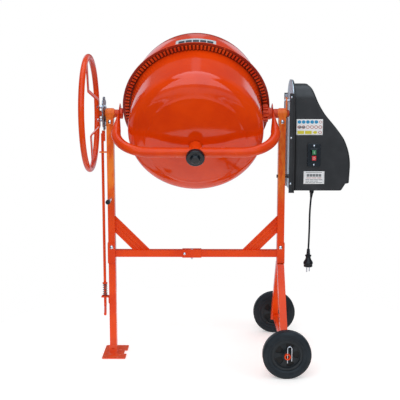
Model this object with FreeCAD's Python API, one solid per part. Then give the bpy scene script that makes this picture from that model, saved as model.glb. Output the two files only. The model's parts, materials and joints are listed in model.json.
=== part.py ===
import FreeCAD, Part
import math
import os

V = FreeCAD.Vector

# ---- driving dimensions, in mm -------------------------------------------
# While it is drawn, X = 0 is the drum's mid-plane, Y = 0 the plane of the posts
# and Z = 0 the ground. save_all() moves the whole mixer so that the origin is
# under the middle of its outline.
TILT_Z = 1069.0          # height of the tilt axis
DRUM_RISE = 30.0         # degrees the drum's mouth points above the horizontal

POST_X = 370.0           # middle of each post
POST_W = 30.0            # post section along X
POST_D = 40.0            # post section along Y
TUBE_WALL = 2.0
POST_TOP = TILT_Z - 21.0
SPLICE_Z = 459.0         # where the left post meets its leg
SOCKET_LOW = 414.0
SOCKET_HIGH = 505.0
BAR_LOW = 441.5
BAR_SIZE = 30.0
JOINT_X = -19.0          # where the two halves of the crossbar meet
SHEET = 3.0              # thickness of the bent straps and sockets
STRAP_R = 23.0
STRAP_LOW = 1020.0
SLEEVE_R = 20.0
SLEEVE_IN = 350.0        # inner end of each bearing sleeve
SLEEVE_OUT = 390.0
LEFT_SHAFT_R = 12.5
RIGHT_SHAFT_R = 15.0
DRIVE_SHAFT_R = 10.0
FIT = 0.05               # radial running clearance

DRUM_R = 283.0
DRUM_SHEET = 2.0
SEAM_S = 43.0            # joint of the two drum halves, along the drum's axis
SEAM_R = 314.0
BOWL_STRAIGHT = -145.0
BOWL_DEPTH = -249.0
KNUCKLE_R = 60.0
MOUTH_S = 343.0
MOUTH_R = 190.0
UPPER_BOW = 37.0         # how far the upper shell bulges from a straight cone
RIM_BEAD_R = 6.0

RING_TEETH = 120
PINION_TEETH = 13
MESH_R = 300.0
PITCH_S = MESH_R * PINION_TEETH / RING_TEETH
TOOTH_HEIGHT = 4.0
PRESSURE = math.radians(25.0)
BACKLASH = 0.45
RING_PLATE_LOW = PITCH_S + 4.8
RING_PLATE_HIGH = SEAM_S - DRUM_SHEET
RING_R_IN = 284.5
RING_R_OUT = 318.0
TEETH_R_IN = 290.0
TEETH_R_OUT = 307.0
PINION_ROOT_R = PITCH_S - TOOTH_HEIGHT - 1.0

YOKE_R = 20.0
YOKE_WALL = 3.0
YOKE_X = 332.0
YOKE_S = -292.0
YOKE_BEND_R = 150.0
YOKE_END_X = 329.0
YOKE_END_T = 7.0
YOKE_ARM_S = -140.0      # where the round arm starts to flatten
YOKE_FLAT_S = -24.0      # where it is quite flat, just below the shaft head
HOUSING_R = 28.0
HOUSING_TOP = -252.0
HOUSING_END = -318.0
BEARING_R = 23.5
DRUM_SHAFT_R = 15.0

WHEEL_R = 100.0
WHEEL_X = 374.0
WHEEL_Y = 309.5
WHEEL_W = 45.0
TYRE_R_IN = 64.0
AXLE_R = 12.5
AXLE_END = 345.0
LEG_SIZE = 30.0
LEG_FOOT_Y = 252.0

HANDWHEEL_X = -458.0
HANDWHEEL_R = 240.0
HANDWHEEL_TUBE_R = 12.5
BAR_TURN = 16.0          # degrees the wheel's flat bar stands off vertical
HUB_X = -417.5
LOCK_X = -395.5
LOCK_R = 72.0
LOCK_T = 5.0
TILT_BOLT_R = 30.0       # how far the handwheel's bolts sit from the tilt axis

ROD_X = -405.0
ROD_R = 6.0
ROD_TOP = 995.5
PEDAL_Z = 214.0
PEDAL_BEND_R = 18.0
PEDAL_TIP_Y = -125.0
PEDAL_SWING = 6.7        # degrees the pedal is turned in towards the post
GUIDE_Z = 257.0
COLLAR_Z = 319.0
SPRING_R = 9.0
SPRING_WIRE_R = 1.3

COVER_X = 407.0
COVER_Y = 115.0
COVER_WALL = 3.0
COVER_LOW = 750.0
COVER_TOP = 1197.0
BACK_T = 3.0
FLANGE_Y = 125.0
FLANGE_LOW = 741.0
FLANGE_SIDE = 1140.0
FLANGE_TOP = 1213.0
FLAP_DEPTH = 17.0        # how far the cover laps back over the plate's folded edges
FLAP_IN = 119.0
FLAP_OUT = 122.0
FLAP_HIGH = 1156.0
SIDE_SCREW_X = COVER_X - 9.5
SIDE_SCREW_Z = (780.0, 972.0, 1140.0)
BIG_PULLEY_R = 92.0
SMALL_PULLEY_R = 24.0
PULLEY_X = 428.0
PULLEY_W = 22.0
MOTOR_Z = 868.0
MOTOR_R = 62.0

SWITCH_X = 494.0
SWITCH_Z = 900.0
SWITCH_W = 54.0
SWITCH_H = 96.0
GREEN_Z = 912.0
RED_Z = 888.0
BUTTON_W = 17.0
BUTTON_H = 19.0

CORD_R = 4.0
CORD_Y = -40.0
CORD_ROUTE = [
    V(498, CORD_Y, 731),
    V(491, CORD_Y - 2, 660),
    V(492, CORD_Y + 1, 571),
    V(489, CORD_Y, 484),
]


# ---- small shape helpers -------------------------------------------------
def box(x0, x1, y0, y1, z0, z1):
    """A box from its three ranges."""
    return Part.makeBox(x1 - x0, y1 - y0, z1 - z0, V(x0, y0, z0))


def rod(radius, start, end):
    """A solid cylinder between two points."""
    return Part.makeCylinder(radius, (end - start).Length, start, end - start)


def tube(r_out, r_in, start, end):
    """A hollow cylinder between two points."""
    return rod(r_out, start, end).cut(rod(r_in, start, end))


def rod_x(radius, x0, x1, y=0.0, z=TILT_Z):
    """A solid cylinder along X, on the tilt axis unless told otherwise."""
    return rod(radius, V(x0, y, z), V(x1, y, z))


def square_tube(x0, x1, y0, y1, z0, z1, along):
    """A rectangular tube whose open ends face along the named axis."""
    wall = TUBE_WALL
    inset = {"x": (0, wall, wall), "z": (wall, wall, 0)}[along]
    inner = box(x0 + inset[0], x1 - inset[0], y0 + inset[1], y1 - inset[1],
                z0 + inset[2], z1 - inset[2])
    return box(x0, x1, y0, y1, z0, z1).cut(inner)


def polygon(points):
    """A flat face from corner points."""
    return Part.Face(Part.makePolygon(points + [points[0]]))


def fuse_all(shapes):
    """One clean solid from several touching shapes."""
    return shapes[0].multiFuse(shapes[1:]).removeSplitter()


def revolve(edges):
    """Turn a closed outline in the XZ plane once round the Z axis."""
    face = Part.Face(Part.Wire(Part.__sortEdges__(edges)))
    return face.revolve(V(0, 0, 0), V(0, 0, 1), 360)


def line(a, b):
    """A straight edge."""
    return Part.LineSegment(a, b).toShape()


def arc(a, mid, b):
    """A circular edge through three points."""
    return Part.Arc(a, mid, b).toShape()


def ring_profile(points):
    """Turn a polygon of (radius, height) pairs round the Z axis."""
    corners = [V(r, 0, z) for r, z in points]
    return polygon(corners).revolve(V(0, 0, 0), V(0, 0, 1), 360)


def hexagon(across_flats, start, end):
    """A hexagonal prism between two points, for bolt heads and nuts."""
    radius = across_flats / math.sqrt(3.0)
    corners = []
    for k in range(6):
        angle = math.radians(60 * k)
        corners.append(V(radius * math.cos(angle), radius * math.sin(angle), 0))
    prism = polygon(corners).extrude(V(0, 0, (end - start).Length))
    prism.Placement = FreeCAD.Placement(start, FreeCAD.Rotation(V(0, 0, 1), end - start))
    return prism


def dome(radius, height, base, direction):
    """A low domed head: a slice of a ball standing on a flat base."""
    ball_r = (radius ** 2 + height ** 2) / (2 * height)
    unit = V(direction).normalize()
    ball = Part.makeSphere(ball_r, base + unit * (height - ball_r))
    return ball.common(rod(radius, base, base + unit * height))


def mirror_x(shape):
    """The same shape on the other side of the drum's mid-plane."""
    return shape.mirror(V(0, 0, 0), V(1, 0, 0))


def mirror_y(shape):
    """The same shape on the other side of the post plane."""
    return shape.mirror(V(0, 0, 0), V(0, 1, 0))


def on_drum_axis(shape):
    """Stand a shape drawn round the Z axis on the drum's slanted axis."""
    placed = shape.copy()
    placed.rotate(V(0, 0, 0), V(1, 0, 0), DRUM_RISE - 90)
    placed.translate(V(0, 0, TILT_Z))
    return placed


# ---- frame ---------------------------------------------------------------
def left_post():
    """The upper left tube, with the tab that steadies the latch rod."""
    x0 = -POST_X - POST_W / 2
    x1 = -POST_X + POST_W / 2
    post = square_tube(x0, x1, -POST_D / 2, POST_D / 2, SPLICE_Z + 1, POST_TOP, "z")
    post = post.cut(rod(6.6, V(-POST_X, -POST_D, 702), V(-POST_X, POST_D, 702)))
    post = post.cut(cross_holes(-POST_X))
    tab = box(ROD_X - 13, x0, -12, 12, 900, 905)
    tab = tab.cut(rod(ROD_R + FIT, V(ROD_X, 0, 890), V(ROD_X, 0, 910)))
    return fuse_all([post, tab])


def cross_holes(x):
    """Clearance for the two bolts that cross a post from front to back."""
    low = rod(4.2, V(x, -40, 486), V(x, 40, 486))
    high = rod(4.2, V(x, -40, 1034), V(x, 40, 1034))
    return low.fuse(high)


def right_post():
    """The right tube, which reaches down through its socket."""
    post = square_tube(POST_X - POST_W / 2, POST_X + POST_W / 2,
                       -POST_D / 2, POST_D / 2, SOCKET_LOW, POST_TOP, "z")
    post = post.cut(cross_holes(POST_X))
    return post.cut(rod_x(4.2, POST_X - 30, POST_X + 30, 0, 798))


def bearing_head(shaft_r):
    """A short sleeve under a strap whose legs are bolted to the post."""
    x0 = POST_X - POST_W / 2
    x1 = POST_X + POST_W / 2
    strap = rod_x(STRAP_R, x0, x1)
    strap = strap.fuse(box(x0, x1, -STRAP_R, STRAP_R, STRAP_LOW, TILT_Z))
    strap = strap.cut(box(x0, x1, -POST_D / 2, POST_D / 2, STRAP_LOW, TILT_Z))
    sleeve = rod_x(SLEEVE_R, SLEEVE_IN, SLEEVE_OUT)
    head = strap.fuse(sleeve).cut(rod_x(shaft_r + FIT, SLEEVE_IN, SLEEVE_OUT))
    return head.cut(cross_holes(POST_X)).removeSplitter()


def right_bearing_head():
    """The right sleeve, with a lug that the drive housing bolts to."""
    lug = box(SLEEVE_OUT - 5, SLEEVE_OUT, -20, 20, TILT_Z + 14, 1138)
    lug = lug.cut(rod_x(RIGHT_SHAFT_R + FIT, 380, 400))
    for y in (-11, 11):
        lug = lug.cut(rod_x(3.2, 380, 400, y, 1124))
    return fuse_all([bearing_head(RIGHT_SHAFT_R), lug])


def socket():
    """A channel wrapped round the front, outside and back of the right post."""
    x_in = POST_X - POST_W / 2
    x_out = POST_X + POST_W / 2
    half = POST_D / 2
    channel = box(x_in, x_out + SHEET, -half - SHEET, half + SHEET, SOCKET_LOW, SOCKET_HIGH)
    channel = channel.cut(box(x_in, x_out, -half, half, SOCKET_LOW, SOCKET_HIGH))
    outer_edges = [e for e in channel.Edges
                   if abs(e.BoundBox.XMin - x_out - SHEET) < 0.1 and e.BoundBox.ZLength > 80]
    return channel.makeFillet(2.5, outer_edges).cut(cross_holes(POST_X))


def brace_section():
    """Outline of the pressed strip: a flat band with three ribs folded into it."""
    half = 27.0
    skin = SHEET / 2
    front = [V(-half, -skin, 0)]
    back = [V(-half, skin, 0)]
    for x in (-16.0, 0.0, 16.0):
        front += [V(x - 3.5, -skin, 0), V(x - 2, 0.7, 0), V(x + 2, 0.7, 0), V(x + 3.5, -skin, 0)]
        back += [V(x - 4.5, skin, 0), V(x - 2.5, 3.5, 0), V(x + 2.5, 3.5, 0), V(x + 4.5, skin, 0)]
    front.append(V(half, -skin, 0))
    back.append(V(half, skin, 0))
    return front + back[::-1]


def brace():
    """The ribbed strip from the left post down to the bar, at 45 degrees."""
    strip = polygon(brace_section()).extrude(V(0, 0, 260))
    strip.rotate(V(0, 0, 0), V(0, 1, 0), 135)
    middle_of_strip = V(-355, 0, 586)
    strip.translate(middle_of_strip + V(-28, 0, 28))
    bar_top = BAR_LOW + BAR_SIZE
    return strip.common(box(-POST_X + POST_W / 2, 0, -20, 20, bar_top, 700))


def crossbar_left():
    """The left half of the crossbar with its welded brace."""
    bar = square_tube(-POST_X + POST_W / 2, JOINT_X - 0.5, -BAR_SIZE / 2, BAR_SIZE / 2,
                      BAR_LOW, BAR_LOW + BAR_SIZE, "x")
    return fuse_all([bar, brace()]).cut(joiner_holes())


def crossbar_right():
    """The right half, a mirror image apart from where it stops."""
    bar = square_tube(JOINT_X + 0.5, POST_X - POST_W / 2, -BAR_SIZE / 2, BAR_SIZE / 2,
                      BAR_LOW, BAR_LOW + BAR_SIZE, "x")
    return fuse_all([bar, mirror_x(brace())]).cut(joiner_holes())


def joiner_holes():
    """The holes for the two bolts that pin the joiner: one across it, one down."""
    middle = BAR_LOW + BAR_SIZE / 2
    across = rod(3.2, V(-51, -30, middle), V(-51, 30, middle))
    return across.fuse(rod(3.2, V(JOINT_X, 0, middle - 30), V(JOINT_X, 0, middle + 30)))


def crossbar_joiner():
    """The sleeve that holds the two halves of the crossbar together."""
    gap = 0.1
    skin = 2.5
    half = BAR_SIZE / 2
    outer = box(-61, 23, -half - skin, half + skin,
                BAR_LOW - skin, BAR_LOW + BAR_SIZE + skin)
    inner = box(-61, 23, -half - gap, half + gap,
                BAR_LOW - gap, BAR_LOW + BAR_SIZE + gap)
    return outer.cut(inner).cut(joiner_holes())


def joiner_bolts():
    """A bolt across the joiner and one down through the joint, each with its nut."""
    x, y = -51, 0
    middle = BAR_LOW + BAR_SIZE / 2
    shank = rod(3.0, V(x, -18, middle), V(x, 26, middle))
    head = dome(6.5, 3.5, V(x, -17.5, middle), V(0, -1, 0))
    nut = hexagon(10, V(x, 17.5, middle), V(x, 22.5, middle))
    across = fuse_all([shank, head, nut])
    x = JOINT_X
    shank = rod(3.0, V(x, y, middle - 27), V(x, y, middle + 18))
    head = dome(6.5, 3.5, V(x, y, middle + 17.5), V(0, 0, 1))
    nut = hexagon(10, V(x, y, middle - 22.5), V(x, y, middle - 17.5))
    down = fuse_all([shank, head, nut])
    return Part.makeCompound([across, down])


def frame_bolts():
    """Four carriage bolts, two through each post."""
    front = -POST_D / 2 - SHEET
    bolts = []
    for x in (-POST_X, POST_X):
        for z in (486, 1034):
            shank = rod(4.0, V(x, front, z), V(x, -front + 11, z))
            head = dome(8.5, 4.5, V(x, front, z), V(0, -1, 0))
            nut = hexagon(13, V(x, -front, z), V(x, -front + 6.5, z))
            bolts.append(fuse_all([shank, head, nut]))
    return Part.makeCompound(bolts)


def left_leg():
    """The lower left tube welded to its notched foot plate."""
    x0 = -POST_X - POST_W / 2
    x1 = -POST_X + POST_W / 2
    leg = square_tube(x0, x1, -POST_D / 2, POST_D / 2, 5, SPLICE_Z, "z")
    plate = box(-414, -310, -88, 88, 0, 5)
    notch = box(-322, -309, -30, 22, -1, 6)
    plate = plate.cut(notch)
    corners = [e for e in plate.Edges
               if e.BoundBox.ZLength > 4 and abs(abs(e.BoundBox.YMin) - 88) < 0.1]
    plate = plate.makeFillet(6, corners)
    tab = box(x0 - 3, x1 + 3, -POST_D / 2 - 4, -POST_D / 2, 5, 42)
    tab = tab.cut(rod(4.5, V(-POST_X, -40, 24), V(-POST_X, 0, 24)))
    return fuse_all([leg, plate, tab])


def front_leg():
    """The leg that slants from under the right socket to the front wheel."""
    top = V(WHEEL_X - 4, -8, 424)
    foot = V(WHEEL_X - 4, -LEG_FOOT_Y, WHEEL_R)
    run = foot - top
    half = LEG_SIZE / 2
    extra = 45.0
    leg = box(-half, half, -half, half, -20, run.Length + extra)
    bore = half - TUBE_WALL
    leg = leg.cut(box(-bore, bore, -bore, bore, -21, run.Length + extra + 1))
    leg.rotate(V(0, 0, 0), V(1, 0, 0), 180 - math.degrees(math.atan2(-run.y, -run.z)))
    leg.translate(top)
    leg = leg.common(box(300, 450, -LEG_FOOT_Y - 18, -0.5, WHEEL_R - 22, SOCKET_LOW - 0.5))
    collar = rod(19, V(WHEEL_X, -LEG_FOOT_Y - 18, WHEEL_R), V(WHEEL_X, -LEG_FOOT_Y + 18, WHEEL_R))
    hole = rod(AXLE_R + FIT, V(WHEEL_X, -AXLE_END, WHEEL_R), V(WHEEL_X, 0, WHEEL_R))
    return fuse_all([leg, collar]).cut(hole)


def axle():
    """The tube both wheels turn on, drilled near its ends for the clips."""
    ends = (V(WHEEL_X, -AXLE_END, WHEEL_R), V(WHEEL_X, AXLE_END, WHEEL_R))
    shape = tube(AXLE_R, 8.5, ends[0], ends[1])
    for side in (-1, 1):
        y = side * (AXLE_END - 4)
        shape = shape.cut(rod(1.9, V(WHEEL_X, y, WHEEL_R - 20), V(WHEEL_X, y, WHEEL_R + 20)))
    return shape


def wheel_clip(side):
    """A hairpin clip: one straight prong through the axle, one bent round beside it."""
    y = side * (AXLE_END - 4)
    x = WHEEL_X
    z = WHEEL_R
    loop_r = 8.5
    far = x + 2 * loop_r
    low, high = z - 26, z + 34
    path = [
        line(V(x, y, low), V(x, y, high)),
        arc(V(x, y, high), V(x + loop_r, y, high + loop_r), V(far, y, high)),
        line(V(far, y, high), V(far, y, z - 18)),
    ]
    face = Part.Face(Part.Wire(Part.makeCircle(1.6, V(x, y, low), V(0, 0, 1))))
    return Part.Wire(path).makePipe(face)


def wheel(side):
    """A moulded wheel centre with five pockets between flat spokes on each side."""
    rim_w = WHEEL_W * 0.7
    disc = rod(TYRE_R_IN, V(0, 0, -rim_w / 2), V(0, 0, rim_w / 2))
    recess = tube(54, 21, V(0, 0, 5), V(0, 0, rim_w))
    disc = disc.cut(recess).cut(recess.mirror(V(0, 0, 0), V(0, 0, 1)))
    spoke = 30.0
    floor = 1.0
    pocket = tube(49, 24, V(0, 0, floor), V(0, 0, 8))
    half_open = (72 - spoke) / 2
    wedge_r = 80.0
    a = math.radians(half_open)
    x, y = wedge_r * math.cos(a), wedge_r * math.sin(a)
    wedge = polygon([V(0, 0, floor), V(x, -y, floor), V(x, y, floor)])
    pocket = pocket.common(wedge.extrude(V(0, 0, 20)))
    upright = [e for e in pocket.Edges if e.BoundBox.ZLength > 6.5]
    pocket = pocket.makeFillet(4, upright)
    pocket = Part.makeCompound([pocket, pocket.mirror(V(0, 0, 0), V(0, 0, 1))])
    for k in range(5):
        turned = pocket.copy()
        turned.rotate(V(0, 0, 0), V(0, 0, 1), 72 * k + 2)
        disc = disc.cut(turned)
    boss = rod(19, V(0, 0, -WHEEL_W / 2 + 2), V(0, 0, WHEEL_W / 2 + 2))
    disc = disc.fuse(boss).cut(rod(AXLE_R + FIT, V(0, 0, -40), V(0, 0, 40)))
    disc = disc.removeSplitter()
    disc.rotate(V(0, 0, 0), V(1, 0, 0), 90)
    if side > 0:
        disc = mirror_y(disc)
    disc.translate(V(WHEEL_X, side * WHEEL_Y, WHEEL_R))
    return disc


def tyre(side):
    """A solid tyre with rounded shoulders."""
    half = WHEEL_W / 2
    low = TYRE_R_IN
    high = WHEEL_R
    shoulder = 11.0
    bend = shoulder * (1 - math.sqrt(0.5))
    edges = [
        line(V(low, 0, -half + 3), V(low, 0, half - 3)),
        line(V(low, 0, half - 3), V(low + 8, 0, half)),
        line(V(low + 8, 0, half), V(high - shoulder, 0, half)),
        arc(V(high - shoulder, 0, half), V(high - bend, 0, half - bend),
            V(high, 0, half - shoulder)),
        line(V(high, 0, half - shoulder), V(high, 0, -half + shoulder)),
        arc(V(high, 0, -half + shoulder), V(high - bend, 0, -half + bend),
            V(high - shoulder, 0, -half)),
        line(V(high - shoulder, 0, -half), V(low + 8, 0, -half)),
        line(V(low + 8, 0, -half), V(low, 0, -half + 3)),
    ]
    shape = revolve(edges)
    shape.rotate(V(0, 0, 0), V(1, 0, 0), 90)
    shape.translate(V(WHEEL_X, side * WHEEL_Y, WHEEL_R))
    return shape


def transport_handle():
    """A plain rod through the left post, to pull the mixer by."""
    return rod(6.5, V(-POST_X, POST_D / 2 + 6, 702), V(-POST_X, -122, 702))


def handle_cap():
    """The plastic cap pushed over the handle's end."""
    cap = rod(10, V(-POST_X, -136, 702), V(-POST_X, -112, 702))
    rim = [e for e in cap.Edges if abs(e.BoundBox.YMin + 136) < 0.1 and e.BoundBox.YLength < 0.1]
    cap = cap.makeFillet(3, rim)
    return cap.cut(rod(6.5 + FIT, V(-POST_X, -122, 702), V(-POST_X, -100, 702)))


# ---- foot latch ----------------------------------------------------------
def pedal_guide():
    """The bracket on the left leg that the pedal rod slides through."""
    x_leg = -POST_X - POST_W / 2
    plate = box(ROD_X - 16, x_leg, -14, 14, GUIDE_Z, GUIDE_Z + 5)
    back = box(x_leg - 4, x_leg, -14, 14, GUIDE_Z - 26, GUIDE_Z + 5)
    hole = rod(ROD_R + FIT, V(ROD_X, 0, GUIDE_Z - 9), V(ROD_X, 0, GUIDE_Z + 9))
    return fuse_all([plate, back]).cut(hole)


def latch_rod():
    """One rod bent into a pedal, with a flat latch and a spring collar."""
    bend = PEDAL_BEND_R
    corner = PEDAL_Z + bend
    mid = V(ROD_X, -bend * (1 - math.sqrt(0.5)), corner - bend * math.sqrt(0.5))
    path = [
        line(V(ROD_X, 0, ROD_TOP - 12), V(ROD_X, 0, corner)),
        arc(V(ROD_X, 0, corner), mid, V(ROD_X, -bend, PEDAL_Z)),
        line(V(ROD_X, -bend, PEDAL_Z), V(ROD_X, PEDAL_TIP_Y, PEDAL_Z)),
    ]
    start = V(ROD_X, 0, ROD_TOP - 12)
    face = Part.Face(Part.Wire(Part.makeCircle(ROD_R, start, V(0, 0, 1))))
    bar = Part.Wire(path).makePipe(face)
    bar.rotate(start, V(0, 0, 1), PEDAL_SWING)
    latch = box(ROD_X - 1, LOCK_X + LOCK_T / 2, -8, 8, 950, ROD_TOP)
    collar = rod(11, V(ROD_X, 0, COLLAR_Z), V(ROD_X, 0, COLLAR_Z + 3))
    pin = rod(1.6, V(ROD_X, -13, COLLAR_Z + 5), V(ROD_X, 13, COLLAR_Z + 5))
    return fuse_all([bar, latch, collar, pin])


def pedal_spring():
    """The coil that lifts the pedal."""
    low = GUIDE_Z + 5 + SPRING_WIRE_R + 0.1
    high = COLLAR_Z - SPRING_WIRE_R - 0.1
    turns = 7
    helix = Part.makeHelix((high - low) / turns, high - low, SPRING_R)
    section = Part.Wire(Part.makeCircle(SPRING_WIRE_R, V(SPRING_R, 0, 0), V(0, 1, 0)))
    coil = Part.Wire(helix).makePipeShell([section], True, True)
    coil.translate(V(ROD_X, 0, low))
    return coil


# ---- what tilts ----------------------------------------------------------
def yoke_arm_end():
    """The flattened end of the right arm, drawn along the drum's axis."""
    round_end = Part.Wire(Part.makeCircle(YOKE_R, V(YOKE_X, 0, YOKE_ARM_S), V(0, 0, 1)))
    ellipse = Part.Ellipse(V(0, 0, 0), 29.0, YOKE_END_T / 2).toShape()
    ellipse.rotate(V(0, 0, 0), V(0, 0, 1), 90)
    ellipse.translate(V(YOKE_END_X, 0, YOKE_FLAT_S))
    neck = Part.makeLoft([round_end, Part.Wire(ellipse)], True)
    x0 = YOKE_END_X - YOKE_END_T / 2
    plate = box(x0, x0 + YOKE_END_T, -28, 28, YOKE_FLAT_S - 2, 48)
    tips = [e for e in plate.Edges
            if e.BoundBox.XLength > 6 and abs(e.BoundBox.ZMin - 48) < 0.1]
    return neck.fuse(plate.makeFillet(14, tips))


def yoke():
    """The bent tube that carries the drum, with the bearing housing on it."""
    run = YOKE_X - YOKE_BEND_R
    bend_s = YOKE_S + YOKE_BEND_R
    d = YOKE_BEND_R * math.sqrt(0.5)
    path = [
        line(V(-YOKE_X, 0, YOKE_ARM_S), V(-YOKE_X, 0, bend_s)),
        arc(V(-YOKE_X, 0, bend_s), V(-run - d, 0, bend_s - d), V(-run, 0, YOKE_S)),
        line(V(-run, 0, YOKE_S), V(run, 0, YOKE_S)),
        arc(V(run, 0, YOKE_S), V(run + d, 0, bend_s - d), V(YOKE_X, 0, bend_s)),
        line(V(YOKE_X, 0, bend_s), V(YOKE_X, 0, YOKE_ARM_S)),
    ]
    start = V(-YOKE_X, 0, YOKE_ARM_S)
    pipes = []
    for radius in (YOKE_R, YOKE_R - YOKE_WALL):
        face = Part.Face(Part.Wire(Part.makeCircle(radius, start, V(0, 0, 1))))
        pipes.append(Part.Wire(path).makePipe(face))
    bent = pipes[0].cut(pipes[1])
    end = yoke_arm_end()
    housing = rod(HOUSING_R, V(0, 0, HOUSING_END), V(0, 0, HOUSING_TOP))
    shape = fuse_all([bent, end, mirror_x(end), housing])
    shape = shape.cut(rod(BEARING_R, V(0, 0, HOUSING_END), V(0, 0, HOUSING_TOP)))
    shape = on_drum_axis(shape)
    shape = shape.cut(rod_x(LEFT_SHAFT_R + 0.1, -345, -310))
    return shape.cut(rod_x(RIGHT_SHAFT_R + 0.1, 310, 345))


def left_pivot_shaft():
    """A headed shaft through the yoke's left end, out to the handwheel."""
    inner = YOKE_END_X - YOKE_END_T / 2
    outer = YOKE_END_X + YOKE_END_T / 2
    head = rod_x(23, -inner, -inner + 10)
    collar = rod_x(17, -SLEEVE_IN + 0.3, -outer)
    end = rod_x(LEFT_SHAFT_R, HUB_X + 2.5, -inner)
    return fuse_all([head, collar, end])


def right_pivot_shaft():
    """A hollow shaft through the yoke's right end."""
    inner = YOKE_END_X - YOKE_END_T / 2
    outer = YOKE_END_X + YOKE_END_T / 2
    head = rod_x(23, inner - 5, inner)
    collar = rod_x(20, outer, SLEEVE_IN - 0.3)
    body = rod_x(RIGHT_SHAFT_R, inner - 5, 399)
    whole = fuse_all([head, collar, body])
    return whole.cut(rod_x(DRIVE_SHAFT_R + FIT, inner - 6, 400))


def bar_angle(shape):
    """Turn a shape about the tilt axis to the handwheel bar's angle."""
    turned = shape.copy()
    turned.rotate(V(0, 0, TILT_Z), V(1, 0, 0), BAR_TURN)
    return turned


def handwheel_rim():
    """The round tube that the operator turns."""
    return Part.makeTorus(HANDWHEEL_R, HANDWHEEL_TUBE_R, V(HANDWHEEL_X, 0, TILT_Z), V(1, 0, 0))


def handwheel_bar():
    """One dished flat bar across the rim, bolted in the middle."""
    t = 2.5
    wide = 15.0
    inner = 60.0
    outer = 100.0
    end = HANDWHEEL_R
    x0 = HUB_X
    x1 = HANDWHEEL_X
    slope = math.atan2(x0 - x1, outer - inner)
    lean = t * math.tan(slope / 2)
    upper = [
        V(x0 + t, 0, 0),
        V(x0 + t, 0, inner + lean),
        V(x1 + t, 0, outer + lean),
        V(x1 + t, 0, end),
        V(x1 - t, 0, end),
        V(x1 - t, 0, outer - lean),
        V(x0 - t, 0, inner - lean),
        V(x0 - t, 0, 0),
    ]
    half = polygon(upper).extrude(V(0, 2 * wide, 0))
    half.translate(V(0, -wide, 0))
    bar = fuse_all([half, half.mirror(V(0, 0, 0), V(0, 0, 1))])
    bar.translate(V(0, 0, TILT_Z))
    for side in (-1, 1):
        z = TILT_Z + side * TILT_BOLT_R
        bar = bar.cut(rod_x(4.2, HUB_X - 10, HUB_X + 10, 0, z))
    return bar_angle(bar).cut(handwheel_rim())


def lock_disc():
    """The notched disc that the foot latch works against."""
    disc = rod_x(LOCK_R, LOCK_X - LOCK_T / 2, LOCK_X + LOCK_T / 2)
    disc = disc.cut(rod_x(LEFT_SHAFT_R, LOCK_X - 10, LOCK_X + 10))
    for k in range(12):
        notch = box(LOCK_X - 10, LOCK_X + 10, -8.5, 8.5, TILT_Z - LOCK_R - 5, TILT_Z - LOCK_R + 11)
        notch.rotate(V(0, 0, TILT_Z), V(1, 0, 0), 30 * k)
        disc = disc.cut(notch)
    for side in (-1, 1):
        hole = rod_x(4.2, LOCK_X - 10, LOCK_X + 10, 0, TILT_Z + side * TILT_BOLT_R)
        disc = disc.cut(bar_angle(hole))
    return disc


def tilt_bolts():
    """Two bolts that hold the handwheel bar to the notched disc."""
    bolts = []
    for side in (-1, 1):
        z = TILT_Z + side * TILT_BOLT_R
        shank = rod_x(4.0, HUB_X - 2.5, LOCK_X + 9, 0, z)
        head = hexagon(13, V(HUB_X - 8, 0, z), V(HUB_X - 2.5, 0, z))
        spacer = rod_x(8, HUB_X + 2.5, LOCK_X - LOCK_T / 2, 0, z)
        nut = hexagon(13, V(LOCK_X + LOCK_T / 2, 0, z), V(LOCK_X + LOCK_T / 2 + 5, 0, z))
        bolts.append(bar_angle(fuse_all([shank, head, spacer, nut])))
    return Part.makeCompound(bolts)


def drum_bearing():
    """The sleeve bearing inside the yoke's housing."""
    start = V(0, 0, HOUSING_END + 3)
    end = V(0, 0, HOUSING_TOP - 8)
    return on_drum_axis(tube(BEARING_R - FIT, DRUM_SHAFT_R + FIT, start, end))


def bearing_cap():
    """The plastic cap over the housing: a wide disc with a raised middle."""
    face = HOUSING_END - 20
    boss = face - 12
    points = [
        (0, HOUSING_END - 4), (HOUSING_R + FIT, HOUSING_END - 4),
        (HOUSING_R + FIT, HOUSING_END + 4), (37.5, HOUSING_END - 2),
        (37.5, face + 3), (34.5, face), (20, face), (20, boss + 3), (17, boss), (0, boss),
    ]
    return on_drum_axis(ring_profile(points))


# ---- drum ----------------------------------------------------------------
def bowl_curve(offset):
    """The bowl's side and dished bottom, moved inwards by offset."""
    radius = DRUM_R - offset
    knuckle = KNUCKLE_R - offset
    reach = DRUM_R - KNUCKLE_R
    depth = BOWL_STRAIGHT - BOWL_DEPTH
    crown = (reach ** 2 + depth ** 2 - KNUCKLE_R ** 2) / (2 * (depth - KNUCKLE_R))
    centre_s = BOWL_DEPTH + crown
    crown_r = crown - offset
    tangent = math.atan2(reach, centre_s - BOWL_STRAIGHT)
    join = V(crown_r * math.sin(tangent), 0, centre_s - crown_r * math.cos(tangent))
    turn = (math.pi / 2 - tangent) / 2
    middle = V(reach + knuckle * math.cos(turn), 0, BOWL_STRAIGHT - knuckle * math.sin(turn))
    hole = DRUM_SHAFT_R + 2.0
    half = tangent / 2
    crown_mid = V(crown_r * math.sin(half), 0, centre_s - crown_r * math.cos(half))
    end = V(hole, 0, centre_s - math.sqrt(crown_r ** 2 - hole ** 2))
    top = V(radius, 0, RING_PLATE_HIGH)
    side = V(radius, 0, BOWL_STRAIGHT)
    edges = [line(top, side), arc(side, middle, join), arc(join, crown_mid, end)]
    return top, end, edges


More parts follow.
